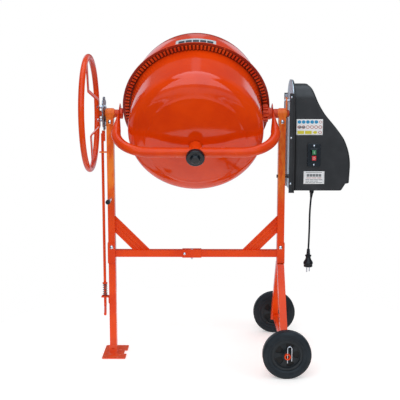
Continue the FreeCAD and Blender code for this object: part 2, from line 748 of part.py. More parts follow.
def bowl():
    """The lower drum half: a pressed bowl with an outward flange."""
    top_out, end_out, outer = bowl_curve(0.0)
    top_in, end_in, inner = bowl_curve(DRUM_SHEET)
    lip_in = V(top_in.x, 0, SEAM_S)
    lip_out = V(SEAM_R, 0, SEAM_S)
    lip_low = V(SEAM_R, 0, RING_PLATE_HIGH)
    edges = outer + inner + [
        line(end_out, end_in), line(top_in, lip_in), line(lip_in, lip_out),
        line(lip_out, lip_low), line(lip_low, top_out),
    ]
    return on_drum_axis(revolve(edges).cut(seam_holes()))


def upper_arc():
    """Centre and radius of the circle that the upper shell's side follows."""
    low = V(DRUM_R, 0, SEAM_S + DRUM_SHEET)
    high = V(MOUTH_R, 0, MOUTH_S)
    chord = high - low
    radius = (chord.Length ** 2 / 4 + UPPER_BOW ** 2) / (2 * UPPER_BOW)
    outward = V(chord.z, 0, -chord.x).normalize()
    centre = (low + high) * 0.5 - outward * (radius - UPPER_BOW)
    return low, high, outward, centre, radius


def upper_points(inset):
    """Start, middle and end of the shell's side, moved inwards by inset."""
    low, high, outward, centre, radius = upper_arc()
    factor = (radius - inset) / radius
    middle = centre + outward * radius
    return [centre + (p - centre) * factor for p in (low, middle, high)]


def upper_drum():
    """The upper drum half: a bowed cone with a flange and a rolled rim."""
    out_low, out_mid, out_high = upper_points(0.0)
    in_low, in_mid, in_high = upper_points(DRUM_SHEET)
    side = revolve([
        arc(out_low, out_mid, out_high), line(out_high, in_high),
        arc(in_high, in_mid, in_low), line(in_low, out_low),
    ])
    seam = ring_profile([
        (DRUM_R - DRUM_SHEET, SEAM_S), (SEAM_R, SEAM_S),
        (SEAM_R, SEAM_S + DRUM_SHEET), (DRUM_R - DRUM_SHEET, SEAM_S + DRUM_SHEET),
    ])
    collar = ring_profile([
        (DRUM_R - DRUM_SHEET, SEAM_S), (DRUM_R, SEAM_S),
        (DRUM_R + 0.5, SEAM_S + 6), (DRUM_R - DRUM_SHEET + 0.5, SEAM_S + 6),
    ])
    bead = Part.makeTorus(MOUTH_R + 3, RIM_BEAD_R, V(0, 0, MOUTH_S), V(0, 0, 1))
    bead = bead.cut(rod(MOUTH_R - DRUM_SHEET, V(0, 0, MOUTH_S - 20), V(0, 0, MOUTH_S + 20)))
    return on_drum_axis(fuse_all([side, seam, collar, bead]).cut(seam_holes()))


def seam_angles():
    """Where the seam bolts sit round the drum, in degrees."""
    return [22.5 + 45 * k for k in range(8)]


def seam_holes():
    """Bolt holes through the flanges and the gear ring."""
    holes = []
    for angle in seam_angles():
        x = 311.5 * math.cos(math.radians(angle))
        y = 311.5 * math.sin(math.radians(angle))
        holes.append(rod(2.1, V(x, y, 20), V(x, y, 60)))
    return holes[0].multiFuse(holes[1:])


def drum_bolts():
    """Eight screws that clamp the gear ring to the drum's flanges."""
    bolts = []
    for angle in seam_angles():
        x = 311.5 * math.cos(math.radians(angle))
        y = 311.5 * math.sin(math.radians(angle))
        shank = rod(2.0, V(x, y, RING_PLATE_LOW), V(x, y, SEAM_S + 8))
        head = dome(4.0, 2.2, V(x, y, RING_PLATE_LOW), V(0, 0, -1))
        nut = hexagon(7, V(x, y, SEAM_S + DRUM_SHEET), V(x, y, SEAM_S + 6))
        bolts.append(fuse_all([shank, head, nut]))
    return on_drum_axis(Part.makeCompound(bolts))


def ring_tooth():
    """One straight tooth of the crown ring, at the ring's +X side."""
    pitch = 2 * math.pi * MESH_R / RING_TEETH
    half = (pitch / 2 - BACKLASH) / 2
    lean = math.tan(PRESSURE)
    tip = half - TOOTH_HEIGHT * lean
    root = half + (RING_PLATE_LOW - PITCH_S) * lean
    tip_s = PITCH_S - TOOTH_HEIGHT
    base_s = RING_PLATE_LOW + 1.0
    x = TEETH_R_IN
    outline = [V(x, -root, base_s), V(x, -root, RING_PLATE_LOW), V(x, -tip, tip_s),
               V(x, tip, tip_s), V(x, root, RING_PLATE_LOW), V(x, root, base_s)]
    return polygon(outline).extrude(V(TEETH_R_OUT - TEETH_R_IN, 0, 0))


def ring_half(side):
    """Half of the cast gear ring; the two halves meet at the ring's left and right."""
    plate = tube(RING_R_OUT, RING_R_IN, V(0, 0, RING_PLATE_LOW), V(0, 0, RING_PLATE_HIGH))
    reach = RING_R_OUT + 5
    low, high = (0.2, reach) if side > 0 else (-reach, -0.2)
    plate = plate.common(box(-reach, reach, low, high, 0, SEAM_S))
    step = 360.0 / RING_TEETH
    teeth = []
    for k in range(RING_TEETH // 2):
        tooth = ring_tooth()
        tooth.rotate(V(0, 0, 0), V(0, 0, 1), side * step * (k + 0.5))
        teeth.append(tooth)
    return on_drum_axis(plate.multiFuse(teeth).cut(seam_holes()))


def cavity(inset):
    """The space inside the drum as a solid, smaller than the shell by inset."""
    top_in, end_in, inner = bowl_curve(DRUM_SHEET + inset)
    low, middle, high = upper_points(DRUM_SHEET + inset)
    foot = V(0, 0, end_in.z)
    cap = V(0, 0, high.z)
    edges = inner + [
        line(end_in, foot), line(foot, cap), line(cap, high),
        arc(high, middle, low), line(low, top_in),
    ]
    return revolve(edges)


def blade(angle):
    """A mixing paddle: a slanted plate that follows the drum's inside wall."""
    plate = box(120, 300, -2.5, 2.5, -205, 175)
    plate.rotate(V(200, 0, 0), V(1, 0, 0), 24)
    plate.rotate(V(230, 0, 0), V(0, 0, 1), 28)
    core = rod(205, V(0, 0, -400), V(0, 0, 400))
    paddle = cavity(0.0).common(plate).cut(core)
    paddle.rotate(V(0, 0, 0), V(0, 0, 1), angle)
    return on_drum_axis(paddle)


def drum_shaft():
    """The stub shaft and its flange, fixed to the bottom of the bowl."""
    flange_s = BOWL_DEPTH + DRUM_SHEET + 3.5
    points = [
        (0, flange_s + 14), (22, flange_s + 14), (26, flange_s + 6), (65, flange_s + 6),
        (65, flange_s), (DRUM_SHAFT_R, flange_s), (DRUM_SHAFT_R, HOUSING_END + 3),
        (0, HOUSING_END + 3),
    ]
    return on_drum_axis(ring_profile(points))


# ---- drive ---------------------------------------------------------------
def involute_half_angle(radius):
    """Half the angle a pinion tooth covers at a given radius."""
    base_r = PITCH_S * math.cos(PRESSURE)
    pitch = 2 * math.pi * MESH_R / RING_TEETH
    at_pitch = (pitch / 2 - BACKLASH) / (2 * PITCH_S)
    lean = math.acos(min(1.0, base_r / radius))
    return at_pitch + (math.tan(PRESSURE) - PRESSURE) - (math.tan(lean) - lean)


def pinion():
    """The small gear on the tilt axis, with involute teeth and a plain hub."""
    base_r = PITCH_S * math.cos(PRESSURE)
    tip_r = PITCH_S + TOOTH_HEIGHT
    x0 = 286.0
    x1 = 308.5
    gear = rod(PINION_ROOT_R, V(0, 0, 0), V(0, 0, x1 - x0))

    def flank(radius, side):
        angle = side * involute_half_angle(radius)
        return V(radius * math.cos(angle), radius * math.sin(angle), 0)

    def root(side):
        angle = side * involute_half_angle(base_r)
        inside = PINION_ROOT_R - 1
        return V(inside * math.cos(angle), inside * math.sin(angle), 0)

    edges = [line(root(-1), flank(base_r, -1)),
             arc(flank(base_r, -1), flank(PITCH_S, -1), flank(tip_r, -1)),
             line(flank(tip_r, -1), flank(tip_r, 1)),
             arc(flank(tip_r, 1), flank(PITCH_S, 1), flank(base_r, 1)),
             line(flank(base_r, 1), root(1)),
             line(root(1), root(-1))]
    tooth = Part.Face(Part.Wire(edges)).extrude(V(0, 0, x1 - x0))
    teeth = []
    for k in range(PINION_TEETH):
        turned = tooth.copy()
        turned.rotate(V(0, 0, 0), V(0, 0, 1), 360.0 * k / PINION_TEETH)
        teeth.append(turned)
    gear = gear.multiFuse(teeth)
    gear = gear.fuse(rod(26, V(0, 0, x1 - x0 - 1), V(0, 0, 319 - x0)))
    gear = gear.cut(rod(DRIVE_SHAFT_R, V(0, 0, -1), V(0, 0, 60))).removeSplitter()
    gear.rotate(V(0, 0, 0), V(0, 1, 0), 90)
    gear.translate(V(x0, 0, 0))
    tooth_along_drum_axis = DRUM_RISE + 90
    gear.rotate(V(0, 0, 0), V(1, 0, 0), tooth_along_drum_axis)
    gear.translate(V(0, 0, TILT_Z))
    return gear


def drive_shaft():
    """The shaft that carries the pinion and the big pulley."""
    return rod_x(DRIVE_SHAFT_R, 284.5, PULLEY_X + PULLEY_W + 6)


def pulley(radius, bore, x0, z):
    """A grooved belt pulley on a shaft along X."""
    w = PULLEY_W
    groove = 6.0
    points = [(bore, 0), (radius, 0), (radius, 4), (radius - groove, 7),
              (radius - groove, w - 7), (radius, w - 4), (radius, w), (bore, w)]
    wheel_shape = ring_profile(points)
    wheel_shape.rotate(V(0, 0, 0), V(0, 1, 0), 90)
    wheel_shape.translate(V(x0, 0, z))
    return wheel_shape


def motor_pulley():
    """The small pulley and the motor's shaft in one piece."""
    x1 = PULLEY_X + PULLEY_W
    grooved = pulley(SMALL_PULLEY_R, 0.01, PULLEY_X, MOTOR_Z)
    core = rod_x(7, PULLEY_X, x1 + 30, 0, MOTOR_Z)
    return fuse_all([core, grooved])


def drive_belt():
    """A flat closed belt round both pulleys, just clear of their grooves."""
    gap = 0.4
    r_big = BIG_PULLEY_R - 6 + gap
    r_small = SMALL_PULLEY_R - 6 + gap
    x0 = PULLEY_X + 7.5
    width = PULLEY_W - 15
    outer = Part.Face(belt_outline(r_big + 4, r_small + 4, x0))
    inner = Part.Face(belt_outline(r_big, r_small, x0))
    return outer.extrude(V(width, 0, 0)).cut(inner.extrude(V(width, 0, 0)))


def belt_outline(r_big, r_small, x):
    """Two arcs and the two straight runs tangent to them."""
    span = TILT_Z - MOTOR_Z
    lean = math.asin((r_big - r_small) / span)
    c = math.cos(lean)
    s = math.sin(lean)
    big = [V(x, side * r_big * c, TILT_Z - r_big * s) for side in (-1, 1)]
    small = [V(x, side * r_small * c, MOTOR_Z - r_small * s) for side in (-1, 1)]
    return Part.Wire([
        arc(big[0], V(x, 0, TILT_Z + r_big), big[1]), line(big[1], small[1]),
        arc(small[1], V(x, 0, MOTOR_Z - r_small), small[0]), line(small[0], big[0]),
    ])


def motor():
    """The electric motor on four studs from the housing's back plate."""
    x0 = PULLEY_X + PULLEY_W + 6
    x1 = 615.0
    body = rod_x(MOTOR_R, x0 + 6, x1, 0, MOTOR_Z)
    plate = box(x0, x0 + 6, -66, 66, MOTOR_Z - 66, MOTOR_Z + 66)
    parts = [body, plate]
    for y in (-56, 56):
        for z in (MOTOR_Z - 56, MOTOR_Z + 56):
            parts.append(rod_x(7, COVER_X, x0, y, z))
    return fuse_all(parts).cut(rod_x(7.3, x0 - 1, x0 + 40, 0, MOTOR_Z))


# ---- drive housing -------------------------------------------------------
def cover_profile(inset):
    """The cover's front outline as a face in the XZ plane, wall moved in by inset."""
    i = inset
    y = 0.0
    step = (i > 0) * 0.001
    points = {
        "low_left": V(COVER_X - i - step, y, COVER_LOW + i),
        "top_left": V(COVER_X - i - step, y, COVER_TOP - i),
        "top": V(462 - i * 0.5, y, COVER_TOP - i),
        "shoulder": V(483 - i, y, 1177 - i * 0.6),
        "slope": V(509 - i, y, 1118),
        "waist": V(536 - i, y, 1072 - i * 0.5),
        "waist_low": V(586 - i * 0.7, y, 1014 - i * 0.7),
        "hip": V(625 - i, y, 960 - i * 0.4),
        "side": V(649 - i, y, 868),
        "lip": V(645 - i, y, 780 + i),
        "step": V(631 - i, y, 779 + i),
        "low_right": V(613 - i * 0.4, y, COVER_LOW + i),
    }
    p = points
    edges = [
        line(p["low_left"], p["top_left"]),
        line(p["top_left"], p["top"]),
        arc(p["top"], V(474.5 - i * 0.7, y, 1191 - i * 0.7), p["shoulder"]),
        line(p["shoulder"], p["slope"]),
        arc(p["slope"], V(521.5 - i, y, 1094), p["waist"]),
        line(p["waist"], p["waist_low"]),
        arc(p["waist_low"], V(607 - i * 0.8, y, 989 - i * 0.6), p["hip"]),
        arc(p["hip"], V(643 - i, y, 914), p["side"]),
        line(p["side"], p["lip"]),
        line(p["lip"], p["step"]),
        line(p["step"], p["low_right"]),
        line(p["low_right"], p["low_left"]),
    ]
    return Part.Face(Part.Wire(edges))


def cover_block(inset):
    """The cover as a solid: its front outline with the top edges rounded off."""
    half = COVER_Y - inset
    block = cover_profile(inset).extrude(V(0, 2 * half, 0))
    block.translate(V(0, -half, 0))
    corner = 62.0 - inset
    clear_of_flat = 0.5
    top = COVER_TOP - inset + clear_of_flat
    bend = corner * (1 - math.sqrt(0.5))
    low = COVER_LOW - 10
    side = Part.Wire([
        line(V(0, -half, low), V(0, -half, top - corner)),
        arc(V(0, -half, top - corner), V(0, -half + bend, top - bend), V(0, -half + corner, top)),
        line(V(0, -half + corner, top), V(0, half - corner, top)),
        arc(V(0, half - corner, top), V(0, half - bend, top - bend), V(0, half, top - corner)),
        line(V(0, half, top - corner), V(0, half, low)),
        line(V(0, half, low), V(0, -half, low)),
    ])
    mask = Part.Face(side).extrude(V(800, 0, 0))
    return block.common(mask)


def flange_outline(x, inset):
    """The arch-topped outline of the back plate, as a face across X."""
    half = FLANGE_Y - inset
    low = FLANGE_LOW + inset
    high = FLANGE_TOP - inset
    corner = 40.0
    bend = corner * (1 - math.sqrt(0.5))
    side = FLANGE_SIDE
    return Part.Face(Part.Wire([
        line(V(x, -half, low), V(x, -half, side)),
        arc(V(x, -half, side), V(x, -half * 0.62, side + (high - side) * 0.78), V(x, 0, high)),
        arc(V(x, 0, high), V(x, half * 0.62, side + (high - side) * 0.78), V(x, half, side)),
        line(V(x, half, side), V(x, half, low)),
        line(V(x, half, low), V(x, -half, low)),
    ]))


def side_screw_holes():
    """Holes through the cover's flaps and the plate's folded edges."""
    holes = []
    for z in SIDE_SCREW_Z:
        for side in (-1, 1):
            holes.append(rod(1.9, V(SIDE_SCREW_X, side * 110, z), V(SIDE_SCREW_X, side * 130, z)))
    return Part.makeCompound(holes)


def side_strips(x0, x1, y0, y1, low, high):
    """One upright strip on each side of the housing."""
    strip = box(x0, x1, y0, y1, low, high)
    return strip, mirror_y(strip)


def housing_back():
    """The steel back plate, with folded edges, that carries the motor."""
    plate = flange_outline(COVER_X - BACK_T, 0.0).extrude(V(BACK_T, 0, 0))
    gap = 0.1
    for notch in side_strips(COVER_X - 10, COVER_X + 10, FLAP_IN - gap, FLANGE_Y + 5,
                             FLANGE_LOW - 10, FLAP_HIGH + gap):
        plate = plate.cut(notch)
    edge_low = FLANGE_LOW + 4
    for edge in side_strips(COVER_X - FLAP_DEPTH + 2, COVER_X - 1, FLAP_IN - gap - 2,
                            FLAP_IN - gap, edge_low, FLAP_HIGH - 4):
        plate = plate.fuse(edge)
    plate = plate.cut(side_screw_holes())
    plate = plate.cut(rod_x(22, COVER_X - 20, COVER_X + 20))
    plate = plate.cut(rod_x(4.2, COVER_X - 20, COVER_X + 20, 0, 798))
    for y in (-11, 11):
        plate = plate.cut(rod_x(3.2, COVER_X - 20, COVER_X + 20, y, 1124))
    return plate


def housing_cover():
    """The moulded cover: a hollow shell with a lip and two flaps at its open side."""
    inner = cover_block(COVER_WALL)
    shell = cover_block(0.0).cut(inner)
    lip = flange_outline(COVER_X, 0.0).extrude(V(6, 0, 0))
    opening = inner.common(box(COVER_X - 10, COVER_X + 10, -200, 200, 600, 1300))
    flaps = side_strips(COVER_X - FLAP_DEPTH, COVER_X + 3, FLAP_IN, FLAP_OUT,
                        FLANGE_LOW, FLAP_HIGH)
    shape = fuse_all([shell, lip.cut(opening).cut(inner), *flaps])
    half_w = SWITCH_W / 2 - 6
    half_h = SWITCH_H / 2 - 14
    shape = shape.cut(box(SWITCH_X - half_w, SWITCH_X + half_w, -COVER_Y - 5, -COVER_Y + 10,
                          SWITCH_Z - half_h, SWITCH_Z + half_h))
    gland_at = CORD_ROUTE[0]
    shape = shape.cut(rod(8.1, V(gland_at.x, gland_at.y, 700), V(gland_at.x, gland_at.y, 770)))
    return shape.cut(side_screw_holes())


def cover_screws():
    """Identical self-tapping screws through the cover's flaps, three to a side."""
    screws = []
    for z in SIDE_SCREW_Z:
        for side in (-1, 1):
            inner_end = V(SIDE_SCREW_X, side * (FLAP_IN - 6), z)
            face = V(SIDE_SCREW_X, side * FLAP_OUT, z)
            head = dome(4.4, 2.4, face, V(0, side, 0))
            screws.append(rod(1.8, inner_end, face).fuse(head).removeSplitter())
    return Part.makeCompound(screws)


def housing_bolt():
    """The long bolt and spacer from the right post to the back plate."""
    x_in = POST_X - POST_W / 2
    x_out = POST_X + POST_W / 2
    z = 798
    shank = rod_x(4.0, x_in, COVER_X + 8, 0, z)
    head = hexagon(13, V(x_in - 5.5, 0, z), V(x_in, 0, z))
    spacer = rod_x(9, x_out, COVER_X - BACK_T, 0, z)
    nut = hexagon(13, V(COVER_X, 0, z), V(COVER_X + 6, 0, z))
    return fuse_all([shank, head, spacer, nut])


def bracket_bolts():
    """Two short bolts from the right sleeve's lug to the back plate."""
    bolts = []
    for y in (-11, 11):
        z = 1124
        shank = rod_x(3.0, SLEEVE_OUT - 9, COVER_X + 6, y, z)
        head = hexagon(10, V(SLEEVE_OUT - 10, y, z), V(SLEEVE_OUT - 5, y, z))
        spacer = rod_x(6, SLEEVE_OUT, COVER_X - BACK_T, y, z)
        nut = hexagon(10, V(COVER_X, y, z), V(COVER_X + 5, y, z))
        bolts.append(fuse_all([shank, head, spacer, nut]))
    return Part.makeCompound(bolts)


def button_block(z, y0, y1, grow):
    """A rectangular block round one button's centre."""
    return box(SWITCH_X - BUTTON_W / 2 - grow, SWITCH_X + BUTTON_W / 2 + grow, y0, y1,
               z - BUTTON_H / 2 - grow, z + BUTTON_H / 2 + grow)


def switch_plate():
    """The switch's cover plate with its body reaching into the housing."""
    front = -COVER_Y - 7
    plate = box(SWITCH_X - SWITCH_W / 2, SWITCH_X + SWITCH_W / 2, front, -COVER_Y,
                SWITCH_Z - SWITCH_H / 2, SWITCH_Z + SWITCH_H / 2)
    corners = [e for e in plate.Edges if e.BoundBox.YLength > 6]
    plate = plate.makeFillet(5, corners)
    body = box(SWITCH_X - 20, SWITCH_X + 20, -COVER_Y - 1, -72, SWITCH_Z - 33, SWITCH_Z + 33)
    frame = box(SWITCH_X - 16, SWITCH_X + 16, front - 3, front,
                RED_Z - BUTTON_H / 2 - 5, GREEN_Z + BUTTON_H / 2 + 5)
    shape = fuse_all([plate, body, frame])
    for z in (GREEN_Z, RED_Z):
        shape = shape.cut(button_block(z, front - 5, -86, 0.3))
    return shape


def button(z):
    """A push button that stands a little proud of its frame."""
    front = -COVER_Y - 7
    block = button_block(z, front - 5.5, -93, 0.0)
    edges = [e for e in block.Edges if abs(e.BoundBox.YMax - front + 5.5) < 0.1]
    return block.makeFillet(1.5, edges)


# ---- cord ----------------------------------------------------------------
def cable_gland():
    """The ribbed gland that grips the cord where it leaves the cover."""
    x = CORD_ROUTE[0].x
    points = [(0, 733), (0, 756), (8, 756), (8, 750), (12, 750), (12, 744), (10, 742),
              (9, 731), (CORD_R + 0.3, 731), (CORD_R + 0.3, 733)]
    gland = ring_profile(points)
    gland.translate(V(x, CORD_Y, 0))
    return gland


def rounded_route(points):
    """Straight runs joined by tangent arcs, with each bend's radius."""
    edges = []
    radii = []
    start = points[0]
    for k in range(1, len(points) - 1):
        before = points[k] - points[k - 1]
        after = points[k + 1] - points[k]
        turn = before.getAngle(after)
        cut = 0.45 * min(before.Length, after.Length)
        radius = cut / math.tan(turn / 2)
        radii.append(radius)
        a = points[k] - V(before).normalize() * cut
        b = points[k] + V(after).normalize() * cut
        inward = (V(after).normalize() - V(before).normalize()).normalize()
        middle = points[k] + inward * (radius / math.cos(turn / 2) - radius)
        edges.append(Part.LineSegment(start, a).toShape())
        edges.append(Part.Arc(a, middle, b).toShape())
        start = b
    edges.append(Part.LineSegment(start, points[-1]).toShape())
    return Part.Wire(edges), radii


def cord():
    """The mains cord: a round tube along its route, checked by its volume."""
    wire, radii = rounded_route(CORD_ROUTE)
    first = CORD_ROUTE[1] - CORD_ROUTE[0]
    face = Part.Face(Part.Wire(Part.makeCircle(CORD_R, CORD_ROUTE[0], first)))
    shape = wire.makePipe(face)
    expected = math.pi * CORD_R ** 2 * wire.Length
    print("cord bend radii", [round(r) for r in radii], "length", round(wire.Length, 1))
    print("cord volume", round(shape.Volume), "section x length", round(expected))
    return shape


def plug_body():
    """A round two-pin plug with a tapered sleeve over the cord's end."""
    end = CORD_ROUTE[-1]
    low = 405.0
    points = [(0, low), (19, low), (19, low + 11), (21, low + 14), (21, low + 20),
              (15, low + 33), (11, low + 41), (10.5, low + 45), (14, low + 48),
              (14, low + 52), (7.5, low + 55), (5.6, end.z), (0, end.z)]
    body = ring_profile(points)
    body.translate(V(end.x, end.y, 0))
    return body


def plug_pins():
    """The plug's two round pins, set at an angle to the front."""
    end = CORD_ROUTE[-1]
    angle = math.radians(47)
    pins = []
    for side in (-1, 1):
        x = end.x + side * 9.5 * math.cos(angle)
        y = end.y + side * 9.5 * math.sin(angle)
        pins.append(rod(2.4, V(x, y, 383), V(x, y, 405)))
    return Part.makeCompound(pins)


# ---- all nodes -----------------------------------------------------------
def build_all():
    """Every node of the mixer by name."""
    left_head = mirror_x(bearing_head(LEFT_SHAFT_R))
    return {
        "left_post": left_post(),
        "right_post": right_post(),
        "left_bearing_head": left_head,
        "right_bearing_head": right_bearing_head(),
        "left_socket": mirror_x(socket()),
        "right_socket": socket(),
        "crossbar_left": crossbar_left(),
        "crossbar_right": crossbar_right(),
        "crossbar_joiner": crossbar_joiner(),
        "joiner_bolts": joiner_bolts(),
        "frame_bolts": frame_bolts(),
        "left_leg": left_leg(),
        "front_leg": front_leg(),
        "rear_leg": mirror_y(front_leg()),
        "axle": axle(),
        "wheel_clips": Part.makeCompound([wheel_clip(-1), wheel_clip(1)]),
        "front_wheel": wheel(-1),
        "front_tyre": tyre(-1),
        "rear_wheel": wheel(1),
        "rear_tyre": tyre(1),
        "transport_handle": transport_handle(),
        "handle_cap": handle_cap(),
        "pedal_guide": pedal_guide(),
        "latch_rod": latch_rod(),
        "pedal_spring": pedal_spring(),
        "yoke": yoke(),
        "left_pivot_shaft": left_pivot_shaft(),
        "right_pivot_shaft": right_pivot_shaft(),
        "handwheel_rim": handwheel_rim(),
        "handwheel_bar": handwheel_bar(),
        "lock_disc": lock_disc(),
        "tilt_bolts": tilt_bolts(),
        "drum_bearing": drum_bearing(),
        "bearing_cap": bearing_cap(),
        "bowl": bowl(),
        "upper_drum": upper_drum(),
        "ring_gear_upper": ring_half(-1),
        "ring_gear_lower": ring_half(1),
        "drum_bolts": drum_bolts(),
        "blade_a": blade(60),
        "blade_b": blade(240),
        "drum_shaft": drum_shaft(),
        "pinion": pinion(),
        "drive_shaft": drive_shaft(),
        "drum_pulley": pulley(BIG_PULLEY_R, DRIVE_SHAFT_R, PULLEY_X, TILT_Z),
        "motor_pulley": motor_pulley(),
        "drive_belt": drive_belt(),
        "motor": motor(),
        "housing_back": housing_back(),
        "housing_cover": housing_cover(),
        "cover_screws": cover_screws(),
        "housing_bolt": housing_bolt(),
        "bracket_bolts": bracket_bolts(),
        "switch_plate": switch_plate(),
        "green_button": button(GREEN_Z),
        "red_button": button(RED_Z),
        "cable_gland": cable_gland(),
        "cord": cord(),
        "plug_body": plug_body(),
        "plug_pins": plug_pins(),
    }


def save_all(shapes):
    """Centre the mixer's outline over the origin and write one file a node."""
    outline = FreeCAD.BoundBox()
    for shape in shapes.values():
        outline.add(shape.optimalBoundingBox(False, False))
    shift = V(-outline.Center.x, -outline.Center.y, 0)
    print("shift", shift, "size", outline.XLength, outline.YLength, outline.ZLength)
    os.makedirs("parts", exist_ok=True)
    for name, shape in shapes.items():
        shape.translate(shift)
        if not shape.isValid():
            print("not valid:", name)
        print(name, "solids", len(shape.Solids), "volume", round(shape.Volume))
        shape.exportStep("parts/" + name + ".step")


save_all(build_all())
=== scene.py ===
# %% [markdown]
# # An electric concrete mixer
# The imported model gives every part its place: posts, yoke, drum, gears and housing.
# This lesson keeps those places, rounds the parts off the way a press shop, a welder
# and a paint line leave them, and gives every part its finish.

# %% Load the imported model
import json
import math

import bmesh
import bpy
import numpy as np
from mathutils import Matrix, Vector

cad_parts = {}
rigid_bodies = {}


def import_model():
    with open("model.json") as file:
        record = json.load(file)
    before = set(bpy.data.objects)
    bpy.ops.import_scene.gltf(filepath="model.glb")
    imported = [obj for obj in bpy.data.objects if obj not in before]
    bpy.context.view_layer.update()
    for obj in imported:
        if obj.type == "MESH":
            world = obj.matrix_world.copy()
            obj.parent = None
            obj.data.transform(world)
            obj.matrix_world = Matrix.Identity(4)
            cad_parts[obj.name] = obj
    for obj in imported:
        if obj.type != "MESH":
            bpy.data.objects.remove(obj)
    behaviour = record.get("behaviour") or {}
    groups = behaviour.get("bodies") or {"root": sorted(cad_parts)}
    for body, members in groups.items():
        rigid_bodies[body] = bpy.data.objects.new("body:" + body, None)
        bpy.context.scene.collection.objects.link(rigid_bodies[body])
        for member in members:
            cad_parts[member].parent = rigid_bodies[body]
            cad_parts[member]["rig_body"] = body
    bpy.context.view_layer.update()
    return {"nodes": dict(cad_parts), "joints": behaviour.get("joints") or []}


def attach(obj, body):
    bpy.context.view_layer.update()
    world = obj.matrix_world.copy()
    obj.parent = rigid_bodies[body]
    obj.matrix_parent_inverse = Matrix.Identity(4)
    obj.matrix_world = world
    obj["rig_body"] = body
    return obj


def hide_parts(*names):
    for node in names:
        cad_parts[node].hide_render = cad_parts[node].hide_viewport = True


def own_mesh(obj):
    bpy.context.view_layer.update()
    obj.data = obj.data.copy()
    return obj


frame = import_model()
nodes = frame["nodes"]

# %% [markdown]
# The drawing of the mixer measures from the middle of the drum, the plane of the posts
# and the ground. The tilt joint lies on that middle line, so its place in the record
# tells how far the drawing was shifted. All the numbers below are metres in the
# drawing's axes, and `placed` adds the shift. The drum's axis leans back from there, and
# its mouth looks up by 30 degrees.

# %% From drawing axes to frame axes
tilt_joint = next(j for j in frame["joints"] if j["name"] == "drum_tilt")
tilt_centre = np.array(tilt_joint["pos_m"])
shift = tilt_centre * np.array([1.0, 1.0, 0.0])
rise = math.radians(30)
drum_axis = np.array([0.0, math.cos(rise), math.sin(rise)])


def placed(points):
    """Add the drawing's shift to an array of points."""
    return np.asarray(points, float) + shift


print("tilt centre", tilt_centre.round(4))

# %% [markdown]
# The camera stands in front, a little above the tilt axis, and looks slightly down.
# A long lens keeps the two posts parallel, as a catalogue picture does.

# %% Camera
camera_data = bpy.data.cameras.new("camera")
camera_data.sensor_width = 36
camera_data.lens = 72.1
camera = bpy.data.objects.new("camera", camera_data)
bpy.context.scene.collection.objects.link(camera)
camera.location = placed((0.0377, -3.463, 1.2023))
camera.rotation_euler = (math.radians(90 - 8.37), 0, 0.006)
bpy.context.scene.camera = camera
print("lens", camera_data.lens, "mm at", [round(v, 3) for v in camera.location])

# %% [markdown]
# ## Tools for making surfaces
# Nearly every part here is one of three kinds of surface: a profile turned round an
# axis, a round or flat section carried along a path, or the CAD's own shape with its
# sharp edges eased. The first helper turns a grid of points into a mesh; a grid may
# close on itself in either direction.

# %% A grid of points becomes a mesh
def link(name, mesh, body, *stands_for):
    """Put a mesh in the scene, let it ride on a body and hide the nodes it stands for."""
    piece = bpy.data.objects.new(name, mesh)
    bpy.context.scene.collection.objects.link(piece)
    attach(piece, body)
    if stands_for:
        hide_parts(*stands_for)
    return piece


def grid_faces(rows, columns, wrap_rows, wrap_columns):
    """Quads between neighbours on a grid: point (i, j) is number i * columns + j."""
    i = np.arange(rows if wrap_rows else rows - 1)[:, None]
    j = np.arange(columns if wrap_columns else columns - 1)[None, :]
    here, right = i * columns + j, i * columns + (j + 1) % columns
    above, corner = (i + 1) % rows * columns + j, (i + 1) % rows * columns + (j + 1) % columns
    return np.stack([here, right, corner, above], axis=-1).reshape(-1, 4)


def grid_mesh(name, points, wrap_rows=False, wrap_columns=True, caps=False):
    """A mesh from a grid of points, with each end row closed by one face if asked."""
    rows, columns = points.shape[:2]
    faces = grid_faces(rows, columns, wrap_rows, wrap_columns).tolist()
    if caps:
        faces.append(list(range(columns))[::-1])
        faces.append(list(range((rows - 1) * columns, rows * columns)))
    mesh = bpy.data.meshes.new(name)
    mesh.from_pydata(points.reshape(-1, 3).tolist(), [], faces)
    return outward(mesh)


def outward(mesh, sharp_angle=32):
    """Merge doubles, turn all faces outwards and shade smoothly up to a sharp angle."""
    work = bmesh.new()
    work.from_mesh(mesh)
    bmesh.ops.remove_doubles(work, verts=work.verts, dist=1e-6)
    bmesh.ops.dissolve_degenerate(work, edges=work.edges, dist=1e-7)
    bmesh.ops.recalc_face_normals(work, faces=work.faces)
    work.to_mesh(mesh)
    work.free()
    mesh.shade_smooth()
    mesh.set_sharp_from_angle(angle=math.radians(sharp_angle))
    return mesh


# %% [markdown]
# A line of corner points looks cut with scissors. Real sheet and castings turn through
# small radii, so `eased` replaces every corner with an arc, sampled finely enough to
# shade smoothly.

